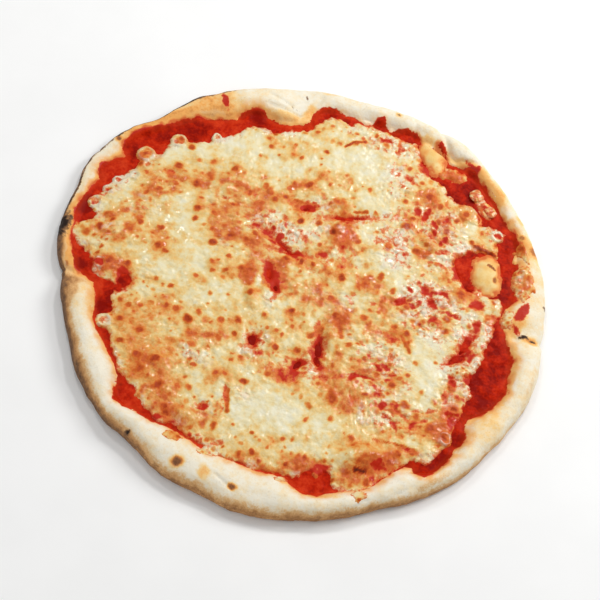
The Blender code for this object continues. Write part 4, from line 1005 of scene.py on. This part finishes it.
def makeDrop(node, name, seed):
    low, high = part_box(node)
    middle = (low + high) / 2
    half = (high - low) / 2
    pickNothing()
    bpy.ops.mesh.primitive_uv_sphere_add(segments=dropLook["segments"], ring_count=dropLook["rings"],
                                         radius=1, location=(0, 0, 0))
    drop = bpy.context.object
    drop.name = name
    unit = readPoints(drop) * mm
    x, y = unit[:, 0] * half.x / mm, unit[:, 1] * half.y / mm
    away = np.hypot(unit[:, 0], unit[:, 1])
    upper = unit[:, 2] > 0
    lump = 1 + 0.20 * soft(x, y, 4.5, seed) + 0.07 * soft(x, y, 2.4, seed + 1)
    px = middle.x / mm + x * lump * dropLook["narrowed"]
    py = middle.y / mm + y * lump * dropLook["narrowed"]
    height = (high.z - low.z) / mm + dropLook["sunk"] + dropLook["raised"]
    pz = low.z / mm - dropLook["sunk"] + (unit[:, 2] + 1) / 2 * height
    pz -= dropLook["dimple"] * dome(away / 0.6) * upper
    pz += 0.40 * soft(px, py, 3.2, seed + 2) * upper
    writePoints(drop, np.stack([px, py, pz], 1))
    red = 0.34 + 0.36 * soft(x, y, 3.0, seed + 3) + 0.12 * dome(away / 0.5) * upper
    paint(drop, browned=0.32 + 0.20 * soft(x, y, 2.4, seed + 4), red=red, wet=0.35, gloss=0.9)
    smoothFaces(drop)
    return drop


# shared node groups
def maskGroup(name, sizeMm, low, high):
    # a group with a size (mm) and two thresholds in and a 0 to 1 mask out, on the object's own
    # coordinates; its maker joins a pattern from place and scale to value
    group = bpy.data.node_groups.new(name, "ShaderNodeTree")
    for label, value in (("Size mm", sizeMm), ("Low", low), ("High", high)):
        socket = group.interface.new_socket(name=label, in_out="INPUT", socket_type="NodeSocketFloat")
        socket.default_value = value
    group.interface.new_socket(name="Mask", in_out="OUTPUT", socket_type="NodeSocketFloat")
    nodes, links = group.nodes, group.links
    entry, leave = nodes.new("NodeGroupInput"), nodes.new("NodeGroupOutput")
    place = nodes.new("ShaderNodeTexCoord")
    perMetre = nodes.new("ShaderNodeMath")
    perMetre.operation = "DIVIDE"
    perMetre.inputs[0].default_value = 1000
    spread = nodes.new("ShaderNodeMapRange")
    spread.interpolation_type = "SMOOTHSTEP"
    links.new(entry.outputs["Size mm"], perMetre.inputs[1])
    links.new(entry.outputs["Low"], spread.inputs["From Min"])
    links.new(entry.outputs["High"], spread.inputs["From Max"])
    links.new(spread.outputs["Result"], leave.inputs["Mask"])
    return group, place.outputs["Object"], perMetre.outputs[0], spread.inputs["Value"]


def mottleGroup():
    # cloudy patches
    group, place, scale, value = maskGroup("mottle", 5.0, 0.4, 0.6)
    noise = group.nodes.new("ShaderNodeTexNoise")
    noise.inputs["Detail"].default_value = 3.0
    group.links.new(scale, noise.inputs["Scale"])
    group.links.new(place, noise.inputs["Vector"])
    group.links.new(noise.outputs["Fac"], value)
    return group


def bubbleGroup():
    # bubbles packed side by side: 0 on the walls between them, 1 inside
    group, place, scale, value = maskGroup("bubbles", 4.0, 0.0, 0.2)
    warp = group.nodes.new("ShaderNodeTexNoise")
    warp.inputs["Scale"].default_value = 260.0
    shift = group.nodes.new("ShaderNodeVectorMath")
    shift.operation = "SCALE"
    shift.inputs["Scale"].default_value = 0.004
    moved = group.nodes.new("ShaderNodeVectorMath")
    moved.operation = "ADD"
    cells = group.nodes.new("ShaderNodeTexVoronoi")
    cells.feature = "DISTANCE_TO_EDGE"
    for source, target in ((place, warp.inputs["Vector"]), (warp.outputs["Color"], shift.inputs[0]),
                           (place, moved.inputs[0]), (shift.outputs["Vector"], moved.inputs[1]),
                           (scale, cells.inputs["Scale"]),
                           (moved.outputs["Vector"], cells.inputs["Vector"]),
                           (cells.outputs["Distance"], value)):
        group.links.new(source, target)
    return group


mottle = mottleGroup()
bubbles = bubbleGroup()


class Bench:
    # a material's node tree, with short words for the nodes it uses
    def __init__(self, name):
        self.material = bpy.data.materials.new(name)
        self.material.use_nodes = True
        self.nodes = self.material.node_tree.nodes
        self.links = self.material.node_tree.links
        self.shader = self.nodes["Principled BSDF"]

    def join(self, source, target):
        if isinstance(source, (int, float, tuple)):
            target.default_value = source
        else:
            self.links.new(source, target)

    def put(self, label, source):
        self.join(source, self.shader.inputs[label])

    def layer(self, name):
        node = self.nodes.new("ShaderNodeAttribute")
        node.attribute_name = name
        return node.outputs["Fac"]

    def clouds(self, size, low, high, group=mottle):
        node = self.nodes.new("ShaderNodeGroup")
        node.node_tree = group
        node.inputs["Size mm"].default_value = size
        node.inputs["Low"].default_value = low
        node.inputs["High"].default_value = high
        return node.outputs["Mask"]

    def blend(self, operation, a, b):
        node = self.nodes.new("ShaderNodeMath")
        node.operation = operation
        self.join(a, node.inputs[0])
        self.join(b, node.inputs[1])
        return node.outputs[0]

    def ruffled(self, value, *layers):
        # value moved up and down by small clouds: size (mm), amount
        for size, amount in layers:
            clouds = self.spread(self.clouds(size, 0.3, 0.7), 0.0, 1.0, -amount, amount)
            value = self.blend("ADD", value, clouds)
        return value

    def spread(self, value, low, high, start=0.0, end=1.0):
        node = self.nodes.new("ShaderNodeMapRange")
        node.interpolation_type = "SMOOTHSTEP"
        self.join(value, node.inputs["Value"])
        node.inputs["From Min"].default_value = low
        node.inputs["From Max"].default_value = high
        node.inputs["To Min"].default_value = start
        node.inputs["To Max"].default_value = end
        return node.outputs["Result"]

    def mix(self, share, first, second):
        node = self.nodes.new("ShaderNodeMix")
        node.data_type = "RGBA"
        self.join(share, node.inputs["Factor"])
        self.join(first, node.inputs["A"])
        self.join(second, node.inputs["B"])
        return node.outputs["Result"]

    def stain(self, base, *layers):
        # colours laid over base: value, from, to, greatest share, colour
        for value, low, high, most, colour in layers:
            base = self.mix(self.spread(value, low, high, 0.0, most), base, srgb(*colour))
        return base

    def ramp(self, value, stops):
        # stops: place, red, green, blue
        node = self.nodes.new("ShaderNodeValToRGB")
        marks = node.color_ramp.elements
        while len(marks) < len(stops):
            marks.new(0.5)
        for mark, (place, *colour) in zip(marks, stops):
            mark.position = place
            mark.color = srgb(*colour)
        self.join(value, node.inputs["Fac"])
        return node.outputs["Color"]

    def bump(self, height, strength, distance):
        node = self.nodes.new("ShaderNodeBump")
        node.inputs["Strength"].default_value = strength
        node.inputs["Distance"].default_value = distance
        self.join(height, node.inputs["Height"])
        self.links.new(node.outputs["Normal"], self.shader.inputs["Normal"])


def doughMaterial():
    bench = Bench("bakedDough")
    bake = bench.ruffled(bench.layer("bake"), (3.0, 0.04), (1.1, 0.025))
    dough = bench.ramp(bake, ((0.0, 240, 232, 212), (0.12, 239, 223, 190), (0.30, 243, 204, 138),
                              (0.46, 238, 170, 90), (0.62, 198, 122, 62), (0.80, 142, 90, 54),
                              (1.0, 74, 50, 36)))
    blister = bench.mix(bench.clouds(9.0, 0.35, 0.65), srgb(240, 212, 148), srgb(234, 190, 112))
    toasted = bench.spread(bake, 0.36, 0.62)
    untoasted = bench.spread(toasted, 0, 1, 1, 0)
    dough = bench.mix(bench.blend("MULTIPLY", bench.layer("blister"), untoasted), dough, blister)
    # the wall's browning and the brown places, with painted shade in a hollow and along a crease of the
    # rim
    tan = bench.ruffled(bench.layer("tan"), (2.6, 0.05), (1.0, 0.04))
    tanTone = bench.ramp(tan, ((0.2, 238, 208, 158), (0.45, 222, 172, 114), (0.65, 182, 130, 80),
                               (0.85, 130, 94, 64), (1.0, 82, 58, 42)))
    dough = bench.mix(bench.spread(tan, 0.06, 0.42), dough, tanTone)
    stain = bench.blend("MULTIPLY", bench.layer("stain"), bench.clouds(4.0, 0.1, 0.5))
    char = bench.ruffled(bench.layer("char"), (2.2, 0.14), (0.9, 0.08))
    dough = bench.stain(dough, (stain, 0.05, 0.5, 0.85, (238, 172, 92)),
                        (stain, 0.45, 0.95, 0.9, (214, 100, 46)),
                        (char, 0.12, 0.55, 1.0, (128, 92, 62)), (char, 0.50, 0.95, 1.0, (44, 31, 24)))
    dough = bench.mix(bench.blend("MULTIPLY", bench.layer("sole"), 0.8), dough, srgb(214, 170, 110))
    film = bench.ruffled(bench.layer("film"), (1.6, 0.10))
    dough = bench.stain(dough, (film, -0.22, 0.06, 1.0, (216, 96, 46)),
                        (film, -0.02, 0.22, 1.0, (188, 34, 8)))
    bench.put("Base Color", dough)
    bench.put("Roughness", bench.spread(film, 0.0, 0.2, 0.70, 0.36))
    bench.put("Specular IOR Level", 0.2)
    bench.bump(bench.clouds(1.3, 0.25, 0.75), 0.25, 0.0004)
    return bench.material


def sauceMaterial():
    bench = Bench("tomatoSauce")
    # orange-red to dark red, with the painted shade from the right rim and under the cheese's windows
    tone = bench.ruffled(bench.layer("deep"), (5.0, 0.12), (1.6, 0.09))
    sauce = bench.ramp(tone, ((0.1, 208, 58, 24), (0.42, 186, 34, 6), (0.85, 134, 13, 2)))
    sauce = bench.mix(bench.blend("MULTIPLY", bench.layer("rimward"), 0.45), sauce, srgb(206, 64, 30))
    bench.put("Base Color", sauce)
    bench.put("Roughness", 0.36)
    bench.put("Specular IOR Level", 0.03)
    bench.bump(bench.clouds(2.0, 0.25, 0.75), 0.25, 0.0004)
    return bench.material


def cheeseMaterial():
    bench = Bench("meltedMozzarella")
    heat = bench.ruffled(bench.layer("browned"), (2.6, 0.04), (1.1, 0.025))
    cream = bench.ramp(heat, ((0.0, 234, 227, 198), (0.16, 232, 216, 167), (0.32, 230, 192, 118),
                              (0.46, 224, 147, 67), (0.60, 208, 98, 30), (0.76, 174, 62, 14),
                              (0.92, 120, 36, 10), (1.0, 62, 34, 20)))
    wet = bench.layer("wet")
    cells = bench.clouds(4.2, 0.0, 0.42, bubbles)
    milk = bench.blend("MULTIPLY", wet, bench.spread(cells, 0.0, 1.0, 0.60, 1.0))
    milkTone = bench.mix(bench.clouds(4.0, 0.35, 0.65), srgb(235, 222, 198), srgb(222, 198, 174))
    cream = bench.mix(bench.spread(milk, 0.10, 0.90, 0.0, 0.85), cream, milkTone)
    gaps = bench.blend("MULTIPLY", wet, bench.spread(cells, 0.0, 0.3, 0.20, 0.0))
    red = bench.ruffled(bench.layer("red"), (2.2, 0.12), (1.0, 0.06))
    red = bench.blend("ADD", red, gaps)
    cream = bench.stain(cream, (red, 0.14, 0.50, 0.92, (218, 108, 48)),
                        (red, 0.44, 0.85, 1.0, (190, 36, 4)))
    bench.put("Base Color", cream)
    gloss = bench.layer("gloss")
    bench.put("Roughness", bench.spread(gloss, 0.15, 0.9, 0.52, 0.17))
    bench.put("Specular IOR Level", 0.18)
    bench.put("Coat Weight", bench.blend("MULTIPLY", gloss, 0.85))
    bench.put("Coat Roughness", 0.08)
    relief = bench.blend("MULTIPLY", bench.blend("MULTIPLY", cells, wet), 0.85)
    oilier = bench.spread(gloss, 0.0, 0.8, 0.35, 1.0)
    grains = bench.blend("MULTIPLY", bench.clouds(2.2, 0.25, 0.75), oilier)
    bench.bump(bench.blend("ADD", relief, grains), 0.5, 0.0006)
    return bench.material


def dress(piece, material):
    piece.data.materials.clear()
    piece.data.materials.append(material)


# put it together
crust = makeCrust()
sauce = makeSauce()
cheese = makeCheese()
dough, tomato, mozzarella = doughMaterial(), sauceMaterial(), cheeseMaterial()
for piece, node, finish, slot in ((crust, "crust", dough, "baked_dough"),
                                  (sauce, "tomato_sauce", tomato, "tomato_sauce"),
                                  (cheese, "mozzarella", mozzarella, "melted_cheese")):
    dress(piece, finish)
    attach(piece, "root")
    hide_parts(node)
for node, name, seed in dropLook["drops"]:
    drop = makeDrop(node, name, seed)
    dress(drop, mozzarella)
    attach(drop, "root")
    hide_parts(node)
print("pieces dressed")


# floor, light and camera
stageLook = {
    "floor": 6.0, "paper": (srgb(250, 250, 249), srgb(247, 247, 246)), "roomLight": 0.30,
    "lift": 60.0, "turn": 15.0, "away": 0.95, "lens": 95.0, "lookAt": (0.00107, -0.0077, 0.007),
    # name, place (m), width (m), power (W)
    "lights": (
        ("softBoxRight", (0.75, 0.55, 0.75), 0.5, 6.9), ("fillLeft", (-0.8, -0.8, 0.9), 1.2, 4.4),
        ("topLight", (0.0, 0.1, 1.6), 1.4, 1.9), ("glintFar", (0.25, 0.85, 1.05), 0.18, 4.0),
        ("glintLeft", (-0.45, 0.65, 1.10), 0.15, 2.1)),
}


def makeStage():
    pickNothing()
    bpy.ops.mesh.primitive_grid_add(x_subdivisions=8, y_subdivisions=8, size=stageLook["floor"],
                                    location=(0, 0, 0))
    floor = bpy.context.object
    floor.name = "paleFloor"
    bench = Bench("palePaper")
    tone = bench.mix(bench.clouds(60.0, 0.3, 0.7), *stageLook["paper"])
    bench.put("Base Color", tone)
    bench.put("Roughness", 0.8)
    dress(floor, bench.material)


def makeLight(name, place, size, power):
    # a round lamp that looks at the pizza's middle
    light = bpy.data.lights.new(name, "AREA")
    light.shape = "DISK"
    light.size = size
    light.energy = power
    lamp = bpy.data.objects.new(name, light)
    lamp.location = place
    lamp.rotation_euler = (-Vector(place)).to_track_quat("-Z", "Y").to_euler()
    bpy.context.scene.collection.objects.link(lamp)


def makeCamera():
    lift, turn = math.radians(stageLook["lift"]), math.radians(stageLook["turn"])
    back = Vector((0, -math.cos(lift), math.sin(lift)))
    right = Vector((1, 0, 0))
    up = back.cross(right)
    c, s = math.cos(turn), math.sin(turn)
    right, up = right * c + up * s, up * c - right * s
    eye = Vector(stageLook["lookAt"]) + back * stageLook["away"]
    camera = bpy.data.cameras.new("camera")
    camera.lens = stageLook["lens"]
    camera.sensor_width = 36
    camera.clip_start = 0.01
    holder = bpy.data.objects.new("camera", camera)
    holder.matrix_world = Matrix.Translation(eye) @ Matrix((right, up, back)).transposed().to_4x4()
    bpy.context.scene.collection.objects.link(holder)
    bpy.context.scene.camera = holder


makeStage()
for light in stageLook["lights"]:
    makeLight(*light)
world = bpy.data.worlds.new("paleRoom")
world.use_nodes = True
room = world.node_tree.nodes["Background"]
room.inputs["Color"].default_value = (1, 1, 1, 1)
room.inputs["Strength"].default_value = stageLook["roomLight"]
bpy.context.scene.world = world
bpy.context.scene.view_settings.view_transform = "Standard"
makeCamera()
print("stage set")
